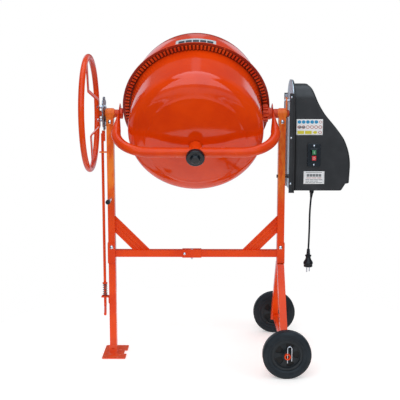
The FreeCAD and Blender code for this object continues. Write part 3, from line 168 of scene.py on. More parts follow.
# %% Rounded outlines
def eased(corners, radii, steps=6, closed=False, share=0.48):
    """Replace corners with tangent arcs: each is cut back by radius x tan(half the turn).

    No cut takes more than the given share of the shorter leg."""
    corners = np.asarray(corners, float)
    count = len(corners)
    radii = np.broadcast_to(radii, count)
    out = []
    for k in range(count):
        here = corners[k]
        if not closed and k in (0, count - 1):
            out.append(here[None])
            continue
        to_last, to_next = corners[k - 1] - here, corners[(k + 1) % count] - here
        long_a, long_b = np.linalg.norm(to_last), np.linalg.norm(to_next)
        to_last, to_next = to_last / long_a, to_next / long_b
        turn = math.pi - math.acos(np.clip(to_last @ to_next, -1, 1))
        if turn < 1e-4 or radii[k] <= 0:
            out.append(here[None])
            continue
        cut = min(radii[k] * math.tan(turn / 2), share * min(long_a, long_b))
        radius = cut / math.tan(turn / 2)
        middle = (to_last + to_next) / np.linalg.norm(to_last + to_next)
        centre = here + middle * radius / math.cos(turn / 2)
        start, end = here + to_last * cut - centre, here + to_next * cut - centre
        t = np.linspace(0, 1, steps + 1)[:, None]
        arc = (np.sin((1 - t) * turn) * start + np.sin(t * turn) * end) / math.sin(turn)
        out.append(centre + arc)
    return np.concatenate(out)


def lengths(line):
    """The distance travelled along a line up to each of its points."""
    return np.concatenate([[0], np.cumsum(np.linalg.norm(np.diff(line, axis=0), axis=1))])


def at_lengths(line, wanted):
    """The points of a line at the wanted distances along it."""
    travel = lengths(line)
    return np.stack([np.interp(wanted, travel, column) for column in line.T], axis=1)


def evenly(line, count):
    """The same line as points at even steps."""
    return at_lengths(line, np.linspace(0, lengths(line)[-1], count))


def smoothed(line, reach):
    """Average each point with its neighbours, mirrored at both ends so those stay put."""
    weights = np.hanning(2 * reach + 3)[1:-1]
    weights /= weights.sum()
    first, last = 2 * line[0] - line[reach:0:-1], 2 * line[-1] - line[-2:-reach - 2:-1]
    padded = np.concatenate([first, line, last])
    return np.stack([np.convolve(padded[:, k], weights, mode="valid") for k in range(2)], axis=1)


def turned(name, profile, origin, axis, segments=96, closed=True):
    """A profile of (radius, height) pairs turned round an axis, as rows of a grid."""
    axis = np.array(axis, float) / np.linalg.norm(axis)
    side = np.cross(axis, (1.0, 0.0, 0.0) if abs(axis[0]) < 0.9 else (0.0, 1.0, 0.0))
    side /= np.linalg.norm(side)
    other = np.cross(axis, side)
    angle = np.linspace(0, 2 * math.pi, segments, endpoint=False)[None, :, None]
    radius, height = profile[:, 0][:, None, None], profile[:, 1][:, None, None]
    points = origin + axis * height + radius * (np.cos(angle) * side + np.sin(angle) * other)
    return grid_mesh(name, points, wrap_rows=closed)


# %% [markdown]
# Bent tube is a circle carried along a line. At each point the line has a direction,
# and the circle stands square to it. A fixed "up" vector keeps the circle from
# twisting, because all our bends lie in one plane.

# %% A section carried along a path
def directions(path):
    """Unit tangents by central differences."""
    tangent = np.gradient(path, axis=0)
    return tangent / np.linalg.norm(tangent, axis=1, keepdims=True)


def swept(name, path, section, up, scale=None):
    """Carry a closed 2-D section along a path; scale holds two factors for each point."""
    path = np.asarray(path, float)
    tangent = directions(path)
    across = np.cross(tangent, up)
    across /= np.linalg.norm(across, axis=1, keepdims=True)
    lift = np.cross(across, tangent)
    scale = np.ones((len(path), 2)) if scale is None else scale
    u = section[None, :, :1] * scale[:, None, :1]
    v = section[None, :, 1:] * scale[:, None, 1:]
    points = path[:, None, :] + u * across[:, None, :] + v * lift[:, None, :]
    return grid_mesh(name, points, caps=True)


def circle(radius, segments=32):
    """Points round a circle."""
    t = np.linspace(0, 2 * math.pi, segments, endpoint=False)
    return radius * np.stack([np.cos(t), np.sin(t)], axis=1)


# %% [markdown]
# ## The mains cord
# The cord hangs from a gland under the housing, 25 cm long, with a moulded plug on its
# end. A thick rubber cord barely bends under the plug's weight, so the line is nearly
# straight. It is a NURBS spline through four route points. Each point carries the cord's
# radius, and the round bevel of size 1 is scaled by it.

# %% Cord
cord_radius = 0.004
route = placed([(0.498, -0.040, 0.731), (0.491, -0.042, 0.660),
                (0.492, -0.039, 0.571), (0.489, -0.040, 0.484)])
cord_curve = bpy.data.curves.new("mains_cord", "CURVE")
cord_curve.dimensions = "3D"
spline = cord_curve.splines.new("NURBS")
spline.points.add(len(route) - 1)
for point, place in zip(spline.points, route):
    point.co = (*place, 1.0)
    point.radius = cord_radius
spline.order_u = 3
spline.use_endpoint_u = True
cord_curve.resolution_u = 24
cord_piece = bpy.data.objects.new("mains_cord", cord_curve)
bpy.context.scene.collection.objects.link(cord_piece)
cord_line_mesh = bpy.data.meshes.new_from_object(cord_piece)
cord_line = np.array([v.co for v in cord_line_mesh.vertices])
cord_curve.bevel_depth = 1.0
cord_curve.bevel_resolution = 6
cord_curve.use_fill_caps = True
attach(cord_piece, "frame")
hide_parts("cord")
cord_length = lengths(cord_line)[-1]
print("cord length", round(float(cord_length), 4), "m")

# %% [markdown]
# The strain relief is a short tapered sleeve with rings, so that the cord bends
# gradually where it leaves the gland. It is a list of radii carried along the first
# 22 mm of the cord's own line.

# %% Strain relief
relief_at = np.linspace(-0.003, 0.022, 61)
relief_line = at_lengths(cord_line, relief_at)
relief_line[:, 2] += np.where(relief_at < 0, -relief_at, 0)
taper = np.interp(relief_at, [-0.003, 0.003, 0.022], [0.0076, 0.0068, 0.0046])
rings = 0.0005 * np.sin(relief_at / 0.022 * 2 * math.pi * 5) * (relief_at > 0)
radii = np.stack([taper + rings] * 2, axis=1)
relief_mesh = swept("strain_relief", relief_line, circle(1.0, 28), (0, 1, 0), radii)
relief = link("strain_relief", relief_mesh, "frame")
print("strain relief", relief_at[-1], "m long")

# %% [markdown]
# The plug is a moulded two-pin plug: a slim ribbed sleeve, a collar for the fingers, a
# waist, and a round base. One turned profile gives all of it. The pins keep their CAD
# shape.

# %% Plug
plug_low, plug_high = 0.405, 0.484
rib_heights = np.linspace(0.462, 0.482, 5)
plug_corners = [(0.0, plug_low), (0.0175, plug_low), (0.019, 0.4065), (0.019, 0.416),
                (0.0208, 0.419), (0.0208, 0.424), (0.0185, 0.4295), (0.0135, 0.437),
                (0.0108, 0.445), (0.0108, 0.4495), (0.0138, 0.4530), (0.0138, 0.4570),
                (0.0078, 0.4592)]
for height in rib_heights:
    narrow = 0.0056 + 0.08 * (plug_high - height)
    plug_corners += [(narrow, height - 0.0018), (narrow + 0.0012, height - 0.0008),
                     (narrow + 0.0012, height + 0.0008), (narrow, height + 0.0018)]
plug_corners += [(0.0046, plug_high), (0.0, plug_high)]
plug_profile = eased(plug_corners, 0.0009, steps=3)
plug_origin = placed((0.489, -0.040, 0.0))
plug = link("plug", turned("plug", plug_profile, plug_origin, (0, 0, 1), 64, closed=False),
            "frame", "plug_body")
print("plug", round(plug_high - plug_low, 3), "m tall")

# %% [markdown]
# The cord is free: it leaves the housing at the gland, and the plug hangs on its end.

print("cord built")

# %% [markdown]
# ## Finishes
# A finish is more than a colour. Powder coat has orange peel, sheet steel has slow
# waves, plastic has grain, and every surface gathers a little dust or rubs brighter
# somewhere. All patterns read Object coordinates, in metres, so a pattern's scale is
# the number of its cells in a metre, and it stays with the part when the part moves.

# %% Node helpers
def new_material(name):
    """An empty node material with its shader, and its object coordinates."""
    material = bpy.data.materials.new(name)
    material.use_nodes = True
    tree = material.node_tree
    shader = tree.nodes["Principled BSDF"]
    coordinates = tree.nodes.new("ShaderNodeTexCoord").outputs["Object"]
    return material, tree, shader, coordinates


def noise(tree, coordinates, cells, detail=3.0, rough=0.5):
    """Soft random values, 0 to 1, with so many cells in a metre."""
    node = tree.nodes.new("ShaderNodeTexNoise")
    node.inputs["Scale"].default_value = cells
    node.inputs["Detail"].default_value = detail
    node.inputs["Roughness"].default_value = rough
    tree.links.new(coordinates, node.inputs["Vector"])
    return node.outputs["Fac"]


def between(tree, value, low, high, low_out, high_out):
    """Map a range of values to another, smoothly and with clamped ends."""
    node = tree.nodes.new("ShaderNodeMapRange")
    node.interpolation_type = "SMOOTHSTEP"
    for socket, number in zip(("From Min", "From Max", "To Min", "To Max"),
                              (low, high, low_out, high_out)):
        node.inputs[socket].default_value = number
    tree.links.new(value, node.inputs["Value"])
    return node.outputs["Result"]


def reopened(material):
    """A finished material's tree, shader, base colour and object coordinates."""
    tree = material.node_tree
    shader = tree.nodes["Principled BSDF"]
    colour = shader.inputs["Base Color"].links[0].from_socket
    where = next(n for n in tree.nodes if n.type == "TEX_COORD").outputs["Object"]
    return tree, shader, colour, where


def parts_of(tree, vector):
    """The X, Y and Z of a vector."""
    node = tree.nodes.new("ShaderNodeSeparateXYZ")
    tree.links.new(vector, node.inputs["Vector"])
    return node.outputs["X"], node.outputs["Y"], node.outputs["Z"]


def stretched(tree, vector, upright):
    """Coordinates whose Z is multiplied, which draws a pattern out or presses it flat."""
    node = tree.nodes.new("ShaderNodeMapping")
    node.inputs["Scale"].default_value = (1.0, 1.0, upright)
    tree.links.new(vector, node.inputs["Vector"])
    return node.outputs["Vector"]


def measured(tree, operation, vector, other):
    """One number from a vector and a constant one: their dot product or distance."""
    node = tree.nodes.new("ShaderNodeVectorMath")
    node.operation = operation
    tree.links.new(vector, node.inputs[0])
    node.inputs[1].default_value = tuple(other)
    return node.outputs["Value"]


def math_node(tree, operation, first, second=None):
    """One arithmetic node; an input is a number or another node's output."""
    node = tree.nodes.new("ShaderNodeMath")
    node.operation = operation
    for socket, value in zip(node.inputs, (first, second)):
        if value is None:
            continue
        if isinstance(value, (int, float)):
            socket.default_value = value
        else:
            tree.links.new(value, socket)
    return node.outputs["Value"]


def combined(tree, operation, first, *rest):
    """One operation over several inputs, such as a product or the largest value."""
    for value in rest:
        first = math_node(tree, operation, first, value)
    return first


def mixed(tree, factor, first, second):
    """A colour between two colours; each may be a colour or another node's output."""
    node = tree.nodes.new("ShaderNodeMix")
    node.data_type = "RGBA"
    tree.links.new(factor, node.inputs["Factor"])
    for socket, colour in (("A", first), ("B", second)):
        target = next(i for i in node.inputs if i.name == socket and i.type == "RGBA")
        if isinstance(colour, tuple):
            target.default_value = (*colour, 1.0)
        else:
            tree.links.new(colour, target)
    return next(o for o in node.outputs if o.type == "RGBA")


def bumped(tree, shader, height, distance, strength=1.0, under=None):
    """Tilt the shading by a height pattern; distance is its depth in metres."""
    node = tree.nodes.new("ShaderNodeBump")
    node.inputs["Strength"].default_value = strength
    node.inputs["Distance"].default_value = distance
    tree.links.new(height, node.inputs["Height"])
    if under is not None:
        tree.links.new(under, node.inputs["Normal"])
    tree.links.new(node.outputs["Normal"], shader.inputs["Normal"])
    return node.outputs["Normal"]


# %% [markdown]
# The frame and drum carry the same orange-red powder coat. Powder melts and flows as it
# bakes, which leaves orange peel: a bump of a few millimetres across and a few microns
# deep. The colour drifts a little where the coat is thicker, and corners near the
# ground get dusty.

# %% Orange powder coat
def powder_coat(name, colour, deep, roughness, peel, waves=0.0, dusty=False, shine=0.42):
    """Paint with drifting colour, patches of different gloss, orange peel and slow waves."""
    material, tree, shader, where = new_material(name)
    drift = between(tree, noise(tree, where, 9.0, 4.0), 0.35, 0.68, 0.0, 1.0)
    base = mixed(tree, drift, colour, deep)
    speck = between(tree, noise(tree, where, 160.0, 2.0), 0.62, 0.80, 0.0, 0.35)
    base = mixed(tree, speck, base, tuple(0.75 * c for c in deep))
    if dusty:
        low = between(tree, parts_of(tree, where)[2], 0.0, 0.10, 0.32, 0.0)
        patchy = between(tree, noise(tree, where, 45.0, 5.0), 0.4, 0.7, 0.2, 1.0)
        base = mixed(tree, math_node(tree, "MULTIPLY", low, patchy), base, (0.50, 0.24, 0.15))
    tree.links.new(base, shader.inputs["Base Color"])
    gloss = between(tree, noise(tree, where, 22.0, 4.0), 0.3, 0.7,
                    roughness * 0.8, roughness * 1.25)
    tree.links.new(gloss, shader.inputs["Roughness"])
    shader.inputs["Specular IOR Level"].default_value = shine
    under = None
    if waves:
        under = bumped(tree, shader, noise(tree, where, 7.0, 1.0), waves)
    bumped(tree, shader, noise(tree, where, 420.0, 2.0), peel, under=under)
    return material


def shade_painted_gaps(material):
    """Paint shade into the deep tooth gaps, and a darker red on the band beyond them, by height along
    the drum's axis.
    """
    tree, shader, paint, where = reopened(material)
    along = measured(tree, "DOT_PRODUCT", where, drum_axis)
    plane = float(tilt_centre @ drum_axis)
    deep = between(tree, along, plane + 0.0335, plane + 0.0368, 0.0, 1.0)
    rim = between(tree, along, plane + 0.0372, plane + 0.0376, 0.93, 0.0)
    dark = math_node(tree, "MULTIPLY", deep, rim)
    apart = measured(tree, "DISTANCE", where, tilt_centre + 0.037 * drum_axis)
    beyond = between(tree, apart, 0.3072, 0.3085, 0.0, 1.0)
    # Painted shade: near black deep between the teeth, and dark red on the flange's underside beyond
    # the tooth tips.
    painted_gap_shade = mixed(tree, beyond, (0.012, 0.005, 0.004), (0.26, 0.012, 0.005))
    tree.links.new(mixed(tree, dark, paint, painted_gap_shade), shader.inputs["Base Color"])
    return material


def lit_towards_top(material):
    """Paint light onto the upper parts: a lighter, yellower colour above 0.7 m, in long mottled
    streaks.
    """
    tree, shader, paint, where = reopened(material)
    high = between(tree, parts_of(tree, where)[2], 0.64, 0.80, 0.0, 1.0)
    streaks = between(tree, noise(tree, stretched(tree, where, 0.35), 45.0, 4.0), 0.34, 0.62,
                      0.3, 1.0)
    # Painted light: the paint turns lighter and yellower towards the top, where the overhead light
    # falls on it.
    amount = math_node(tree, "MULTIPLY", high, streaks)
    tree.links.new(mixed(tree, amount, paint, (0.96, 0.250, 0.030)), shader.inputs["Base Color"])


orange = (0.80, 0.058, 0.002)
deep_orange = (0.72, 0.045, 0.002)
drum_paint = powder_coat("drum_paint", orange, deep_orange, 0.085, 0.00003, waves=0.0009)
frame_paint = powder_coat("frame_paint", (0.80, 0.066, 0.004), (0.72, 0.048, 0.003),
                          0.22, 0.00010, waves=0.0004, dusty=True, shine=0.28)
gear_paint = powder_coat("gear_paint", (0.76, 0.085, 0.010), (0.60, 0.040, 0.006),
                         0.38, 0.0003)
# The ring's paint carries painted shade in and beyond its tooth gaps.
ring_paint = shade_painted_gaps(powder_coat("ring_paint", (0.76, 0.085, 0.010), (0.62, 0.040, 0.006),
                                 0.38, 0.0003))
post_paint = powder_coat("post_paint", (0.80, 0.066, 0.004), (0.72, 0.048, 0.003),
                         0.24, 0.00010, waves=0.0004, dusty=True, shine=0.28)
lit_towards_top(post_paint)
print("paints", drum_paint.name, frame_paint.name, gear_paint.name)

# %% [markdown]
# Zinc plate is bright and faintly blue, with a patchy gloss. Rolled galvanised sheet is
# duller and shows cloudy spangles. Oiled black steel is nearly bare. These are metals,
# so the colour goes to the reflection itself.

# %% Bare and plated metal
def metal(name, colour, dark, roughness, cells, depth):
    """A metal with cloudy colour, patchy gloss and fine scratches stretched along one axis."""
    material, tree, shader, where = new_material(name)
    shader.inputs["Metallic"].default_value = 1.0
    cloud = between(tree, noise(tree, where, cells, 5.0, 0.6), 0.3, 0.7, 0.0, 1.0)
    tree.links.new(mixed(tree, cloud, colour, dark), shader.inputs["Base Color"])
    gloss = between(tree, noise(tree, where, cells * 2.3, 4.0), 0.25, 0.75,
                    roughness * 0.7, roughness * 1.4)
    tree.links.new(gloss, shader.inputs["Roughness"])
    bumped(tree, shader, noise(tree, stretched(tree, where, 9.0), cells * 6, 3.0), depth)
    return material


zinc = metal("zinc_plate", (0.78, 0.81, 0.86), (0.55, 0.58, 0.63), 0.28, 90.0, 0.00008)
galvanised = metal("galvanised_sheet", (0.62, 0.68, 0.72), (0.40, 0.46, 0.50), 0.42, 60.0,
                   0.00010)
grey_steel = metal("grey_steel", (0.36, 0.39, 0.43), (0.24, 0.26, 0.29), 0.48, 50.0, 0.00003)
dark_steel = metal("dark_steel", (0.14, 0.14, 0.15), (0.07, 0.07, 0.075), 0.38, 70.0, 0.00008)
bronze = metal("bronze_bush", (0.60, 0.38, 0.18), (0.40, 0.24, 0.11), 0.35, 80.0, 0.00008)
motor_metal = metal("motor_shell", (0.42, 0.44, 0.46), (0.30, 0.31, 0.33), 0.45, 80.0, 0.0002)
print("metals ready")

# %% [markdown]
# The housing is moulded with a fine leather-like grain, which breaks up its shine. The
# bearing cap and the switch are smoother. Tyres and the cord are rubber: dark, dull and
# slightly blue where dust lies on them.

# %% Plastics and rubber
def moulded(name, colour, haze, roughness, grain_cells, grain_depth, shine=0.5):
    """Plastic or rubber: a faint haze of dust, patchy gloss and a moulded grain."""
    material, tree, shader, where = new_material(name)
    shader.inputs["Specular IOR Level"].default_value = shine
    dust = between(tree, noise(tree, where, 14.0, 5.0, 0.6), 0.38, 0.75, 0.0, 1.0)
    tree.links.new(mixed(tree, dust, colour, haze), shader.inputs["Base Color"])
    gloss = between(tree, noise(tree, where, 30.0, 3.0), 0.3, 0.7,
                    roughness * 0.85, roughness * 1.15)
    tree.links.new(gloss, shader.inputs["Roughness"])
    bumped(tree, shader, noise(tree, where, grain_cells, 2.0, 0.65), grain_depth)
    return material


def shade_painted_pockets(material):
    """Paint shade onto the floors of the wheels' pockets, which lie close to each wheel's middle."""
    tree, shader, colour, where = reopened(material)
    from_posts = math_node(tree, "SUBTRACT", parts_of(tree, where)[1], float(shift[1]))
    from_axle = math_node(tree, "SUBTRACT", math_node(tree, "ABSOLUTE", from_posts), wheel_y)
    from_middle = math_node(tree, "ABSOLUTE", from_axle)
    deep = between(tree, from_middle, 0.0030, 0.0042, 1.0, 0.0)
    # Painted shade: the pocket floors turn near black.
    tree.links.new(mixed(tree, deep, colour, (0.0012, 0.0014, 0.0016)),
                   shader.inputs["Base Color"])


wheel_y = 0.3095
housing_black = moulded("housing_plastic", (0.018, 0.018, 0.019), (0.028, 0.028, 0.030),
                        0.38, 900.0, 0.00020, shine=0.40)
cap_black = moulded("cap_plastic", (0.006, 0.009, 0.013), (0.010, 0.014, 0.020), 0.26,
                    500.0, 0.00005, shine=0.4)
wheel_black = moulded("wheel_plastic", (0.010, 0.014, 0.017), (0.018, 0.023, 0.028), 0.42,
                      700.0, 0.00015, shine=0.3)
shade_painted_pockets(wheel_black)
tyre_rubber = moulded("tyre_rubber", (0.008, 0.012, 0.016), (0.014, 0.020, 0.026), 0.55,
                      600.0, 0.0002, shine=0.25)
cord_rubber = moulded("cord_rubber", (0.006, 0.007, 0.009), (0.012, 0.013, 0.015), 0.45,
                      800.0, 0.0001, shine=0.3)
green_plastic = moulded("green_plastic", (0.035, 0.20, 0.085), (0.055, 0.25, 0.12), 0.30,
                        400.0, 0.00004)
red_plastic = moulded("red_plastic", (0.62, 0.025, 0.035), (0.70, 0.05, 0.06), 0.30,
                      400.0, 0.00004)
print("plastics ready")


# %% [markdown]
# The blades live in wet concrete, so their paint is worn to grey steel in streaks and
# hazed with cement.

# %% Worn blade paint
def worn_paint(name):
    """Paint over steel, mixed by a noise threshold, with cement haze on top."""
    material, tree, shader, where = new_material(name)
    wear = between(tree, noise(tree, where, 28.0, 6.0, 0.62), 0.50, 0.58, 0.0, 1.0)
    haze = between(tree, noise(tree, where, 12.0, 5.0), 0.45, 0.75, 0.0, 0.6)
    base = mixed(tree, wear, deep_orange, (0.30, 0.30, 0.31))
    tree.links.new(mixed(tree, haze, base, (0.42, 0.40, 0.37)), shader.inputs["Base Color"])
    tree.links.new(between(tree, wear, 0.0, 1.0, 0.45, 0.65), shader.inputs["Roughness"])
    bumped(tree, shader, noise(tree, where, 240.0, 4.0), 0.0003)
    return material


blade_paint = worn_paint("blade_paint")


def finish(piece, *materials):
    """Give a piece its materials, in slot order."""
    piece.data.materials.clear()
    for material in materials:
        piece.data.materials.append(material)


def thickened(piece, name, thickness):
    """Give a sheet its thickness, inwards from its outer face."""
    wall = piece.modifiers.new(name, "SOLIDIFY")
    wall.thickness = thickness
    wall.offset = -1


finish(cord_piece, cord_rubber)
finish(relief, cord_rubber)
finish(plug, cord_rubber)
print("cord finished")

# %% [markdown]
# ## Easing the CAD's edges
# A cut tube or a folded bracket keeps a small round on every edge, and light catches on
# it. The CAD's parts have knife edges. `softened` copies a node's mesh, merges its loose
# triangles back into flat faces and bevels the edges that turn sharply. The CAD node
# itself stays as it is, hidden, and the copy rides on the same body.

# %% Copy a node with eased edges
def softened(node, width, material, segments=2, angle=32):
    """A copy of a CAD node whose sharp edges are rounded to the given width."""
    source = nodes[node]
    mesh = source.data.copy()
    mesh.name = node + "_eased"
    for layer in ("custom_normal", "sharp_face", "sharp_edge"):
        if layer in mesh.attributes:
            mesh.attributes.remove(mesh.attributes[layer])
    work = bmesh.new()
    work.from_mesh(mesh)
    bmesh.ops.remove_doubles(work, verts=work.verts, dist=2e-6)
    bmesh.ops.dissolve_degenerate(work, edges=work.edges, dist=1e-6)
    bmesh.ops.dissolve_limit(work, angle_limit=math.radians(1.0), verts=work.verts,
                             edges=work.edges)
    work.to_mesh(mesh)
    work.free()
    piece = link(node + "_eased", mesh, source["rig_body"], node)
    finish(piece, material)
    mesh.shade_smooth()
    mesh.set_sharp_from_angle(angle=math.radians(angle))
    if width:
        bevel = piece.modifiers.new("eased edges", "BEVEL")
        bevel.width = width
        bevel.segments = segments
        bevel.limit_method = "ANGLE"
        bevel.angle_limit = math.radians(angle)
        bevel.harden_normals = True
    return piece


# %% [markdown]
# The stand is square tube, flat bar and folded sockets. Square tube has the biggest
# corner radius, and a cut plate the smallest.

# %% The stand
stand = {"left_post": 0.0030, "right_post": 0.0030, "left_leg": 0.0026, "front_leg": 0.0030,
         "rear_leg": 0.0030, "crossbar_left": 0.0012, "crossbar_right": 0.0012,
         "crossbar_joiner": 0.0016, "left_socket": 0.0010, "right_socket": 0.0010,
         "left_bearing_head": 0.0010, "right_bearing_head": 0.0010, "pedal_guide": 0.0010,
         "axle": 0.0006, "latch_rod": 0.0008}
# The posts and bearing heads carry painted light towards their tops.
top_lit_parts = {"left_post", "right_post", "left_bearing_head", "right_bearing_head"}
for node, width in stand.items():
    softened(node, width, post_paint if node in top_lit_parts else frame_paint)
print("stand parts", len(stand))

# %% [markdown]
# The gear ring and pinion are painted castings. Casting rounds the tooth tips a little
# more than a cutter would.

# %% Gears
for node, paint in (("ring_gear_upper", ring_paint), ("ring_gear_lower", ring_paint),
                    ("pinion", gear_paint)):
    softened(node, 0.0006, paint, segments=1)
print("gears eased")

# %% [markdown]
# Fasteners, shafts and the working parts inside the housing keep their CAD shape with a
# tiny bevel, and take their metal finish.

# %% Small metal parts
small_parts = {
    zinc: ["joiner_bolts", "frame_bolts", "wheel_clips", "transport_handle", "tilt_bolts",
           "cover_screws", "bracket_bolts", "plug_pins"],
    gear_paint: ["drum_bolts", "left_pivot_shaft", "right_pivot_shaft"],
    dark_steel: ["drum_shaft", "drive_shaft", "drum_pulley", "motor_pulley",
                 "housing_bolt"],
    galvanised: ["housing_back"],
    grey_steel: ["lock_disc"],
    bronze: ["drum_bearing"],
    motor_metal: ["motor"],
    cord_rubber: ["drive_belt", "cable_gland"],
    blade_paint: ["blade_a", "blade_b"],
}
plain_nodes = {"plug_pins", "drive_belt", "wheel_clips", "transport_handle"}
for material, names in small_parts.items():
    for node in names:
        if node in plain_nodes:
            finish(nodes[node], material)
        else:
            softened(node, 0.0004, material, segments=1)
print("small parts", sum(len(names) for names in small_parts.values()))

# %% [markdown]
# ## The drum
# The drum is two pressed halves bolted together through the gear ring. The lower half is
# a bowl: a straight wall, a knuckle and a dished bottom. A press leaves no sudden change
# of curvature, so the profile is smoothed along its length. The sheet is 2 mm thick, and
# the profile runs down the outside and back up the inside, closed through the flange and
# through the shaft hole.

# %% The bowl's outline
drum_radius, sheet = 0.283, 0.002
seam_height, seam_radius = 0.043, 0.314
wall_end, bowl_depth, knuckle = -0.145, -0.249, 0.060


def bowl_side(offset, count=160):
    """Wall, knuckle arc and dish arc as points at even steps, moved inwards by offset."""
    reach, depth = drum_radius - knuckle, wall_end - bowl_depth
    crown = (reach ** 2 + depth ** 2 - knuckle ** 2) / (2 * (depth - knuckle))
    centre = bowl_depth + crown
    tangent = math.atan2(reach, centre - wall_end)
    bend = np.linspace(0, math.pi / 2 - tangent, 40)[1:]
    dish = np.linspace(tangent, 0, 60)[1:]
    wall = np.stack([np.full(30, drum_radius - offset),
                     np.linspace(0.040, wall_end, 30)], axis=1)
    corner = np.stack([reach + (knuckle - offset) * np.cos(bend),
                       wall_end - (knuckle - offset) * np.sin(bend)], axis=1)
    bottom = np.stack([(crown - offset) * np.sin(dish),
                       centre - (crown - offset) * np.cos(dish)], axis=1)
    return evenly(np.concatenate([wall, corner, bottom]), count)


outside, inside = smoothed(bowl_side(0.0), 7), smoothed(bowl_side(sheet), 7)
print("bowl depth", outside[:, 1].min().round(4), "m along its axis")

# %% [markdown]
# A shallow ring is pressed into the dish, which stiffens it round the bearing, and the
# flange at the top turns outwards through a small radius.

# %% Bowl
shaft_hole = 0.017
ring_at, ring_depth = 0.205, 0.0011
press = ring_depth * np.exp(-((outside[:, 0] - ring_at) / 0.006) ** 2)
press *= outside[:, 1] < wall_end
outside[:, 1] -= press
outside, inside = (line[(line[:, 0] > shaft_hole) & (line[:, 1] < 0.030)]
                   for line in (outside, inside))
flange_out = eased([outside[0], (drum_radius, seam_height - sheet),
                    (seam_radius, seam_height - sheet), (seam_radius, seam_height - 0.0001),
                    (drum_radius - sheet, seam_height - 0.0001), inside[0]],
                   [0, 0.004, 0.0004, 0.0004, 0.006, 0], steps=4)[::-1]
bowl_profile = np.concatenate([outside, inside[::-1], flange_out[1:-1]])
bowl_mesh = turned("drum_bowl", bowl_profile, tilt_centre, drum_axis, segments=192)
bowl = link("drum_bowl", bowl_mesh, "drum", "bowl")
finish(bowl, drum_paint)
print("bowl faces", len(bowl_mesh.polygons))

# %% [markdown]
# The upper half is a bowed cone that narrows to the mouth. Its edge is rolled over a
# wire, which gives a round bead that is kind to hands and shovels.

# %% Upper half
mouth_height, mouth_radius, bow, bead = 0.343, 0.190, 0.037, 0.006


def shell_side(offset, count=90):
    """Points on the circle through the flange, the bulge and the mouth, moved by offset."""
    low = np.array([drum_radius, seam_height + sheet])
    high = np.array([mouth_radius, mouth_height])
    chord = high - low
    length = np.linalg.norm(chord)
    radius = (length ** 2 / 4 + bow ** 2) / (2 * bow)
    outward_way = np.array([chord[1], -chord[0]]) / length
    centre = (low + high) / 2 - outward_way * (radius - bow)
    half = math.asin(length / 2 / radius)
    t = np.linspace(-half, half, count)[:, None]
    return centre + (radius - offset) * (outward_way * np.cos(t) + chord / length * np.sin(t))


shell_out, shell_in = shell_side(0.0), shell_side(sheet)
around = np.linspace(math.radians(-20), math.radians(205), 26)[:, None]
bead_centre = np.array([mouth_radius + 0.003, mouth_height])
bead_arc = bead_centre + bead * np.concatenate([np.cos(around), np.sin(around)], axis=1)
flange = eased([shell_in[0], (drum_radius - sheet, seam_height), (seam_radius, seam_height),
                (seam_radius, seam_height + sheet), (drum_radius, seam_height + sheet),
                shell_out[2]], [0, 0, 0.0004, 0.0004, 0.003, 0], steps=4)
shell_profile = np.concatenate([flange[1:], shell_out[3:-3], bead_arc, shell_in[-3:0:-1]])
shell_mesh = turned("drum_shell", shell_profile, tilt_centre, drum_axis, segments=192)
shell = link("drum_shell", shell_mesh, "drum", "upper_drum")
finish(shell, drum_paint)
print("shell faces", len(shell_mesh.polygons))

# %% [markdown]
# ## The yoke
# One tube carries the drum. It runs across under the bowl, bends up through two big
# radii, and its ends are pressed flat and wide for the pivot shafts. The section starts
# as a circle and its two widths change along the arms until it is a flat tongue.

# %% The yoke's line and its changing section
tube_radius, arm, run_height, bend_radius = 0.020, 0.332, -0.292, 0.150
tip, flat_start, flat_end = 0.048, -0.140, -0.024
half_flat = eased([(0.0, run_height), (arm, run_height), (arm, flat_start), (0.329, flat_end),
                   (0.329, tip)], [0, bend_radius, 0.5, 0.5, 0], steps=48, share=0.99)
fine = np.linspace(0, 1, 13)
stretch = [a + (b - a) * fine[:-1, None] for a, b in zip(half_flat[:-1], half_flat[1:])
           if np.linalg.norm(b - a) > 1e-5]
half_line = np.concatenate([*stretch, half_flat[-1:]])
keep = np.concatenate([[True], np.linalg.norm(np.diff(half_line, axis=0), axis=1) > 1e-5])
half_line = half_line[keep]
line = np.concatenate([half_line[:0:-1] * (-1, 1), half_line])
path = tilt_centre + line[:, :1] * (1, 0, 0) + line[:, 1:] * drum_axis
press_down = np.clip((line[:, 1] - flat_start) / (flat_end - flat_start), 0, 1)
thick = 1 + press_down * (0.0035 / tube_radius - 1)
wide = 1 + press_down * (0.028 / tube_radius - 1)
past = np.clip(line[:, 1] - (tip - 0.014), 0, 0.014)
wide -= (0.014 - np.sqrt(0.014 ** 2 - past ** 2)) / tube_radius
print("yoke line", len(path), "points")

# %% [markdown]
# The line of the path lies in the plane of X and the drum's axis, so "up" is the
# direction square to both. The first width of the section then lies in the bend's
# plane, and the second stands across it.

# %% Yoke and bearing housing
up = np.cross((1, 0, 0), drum_axis)
yoke_mesh = swept("yoke_tube", path, circle(tube_radius, 40), up,
                  np.stack([thick, wide], axis=1))
yoke_piece = link("yoke_tube", yoke_mesh, "tilting_yoke", "yoke")
finish(yoke_piece, frame_paint)
barrel_profile = eased([(0.0236, -0.318), (0.028, -0.318), (0.028, -0.252), (0.0236, -0.252)],
                       0.0012, steps=3, closed=True)
barrel = link("bearing_barrel", turned("bearing_barrel", barrel_profile, tilt_centre, drum_axis),
              "tilting_yoke")
finish(barrel, frame_paint)
print("yoke faces", len(yoke_mesh.polygons))

# %% [markdown]
# Where tube and barrel meet there is a weld: a bead a few millimetres wide with small
# ripples, one for each pulse of the torch. It follows the line where two cylinders of
# different radius cross, for which the height along the tube's section follows from
# the barrel's circle.

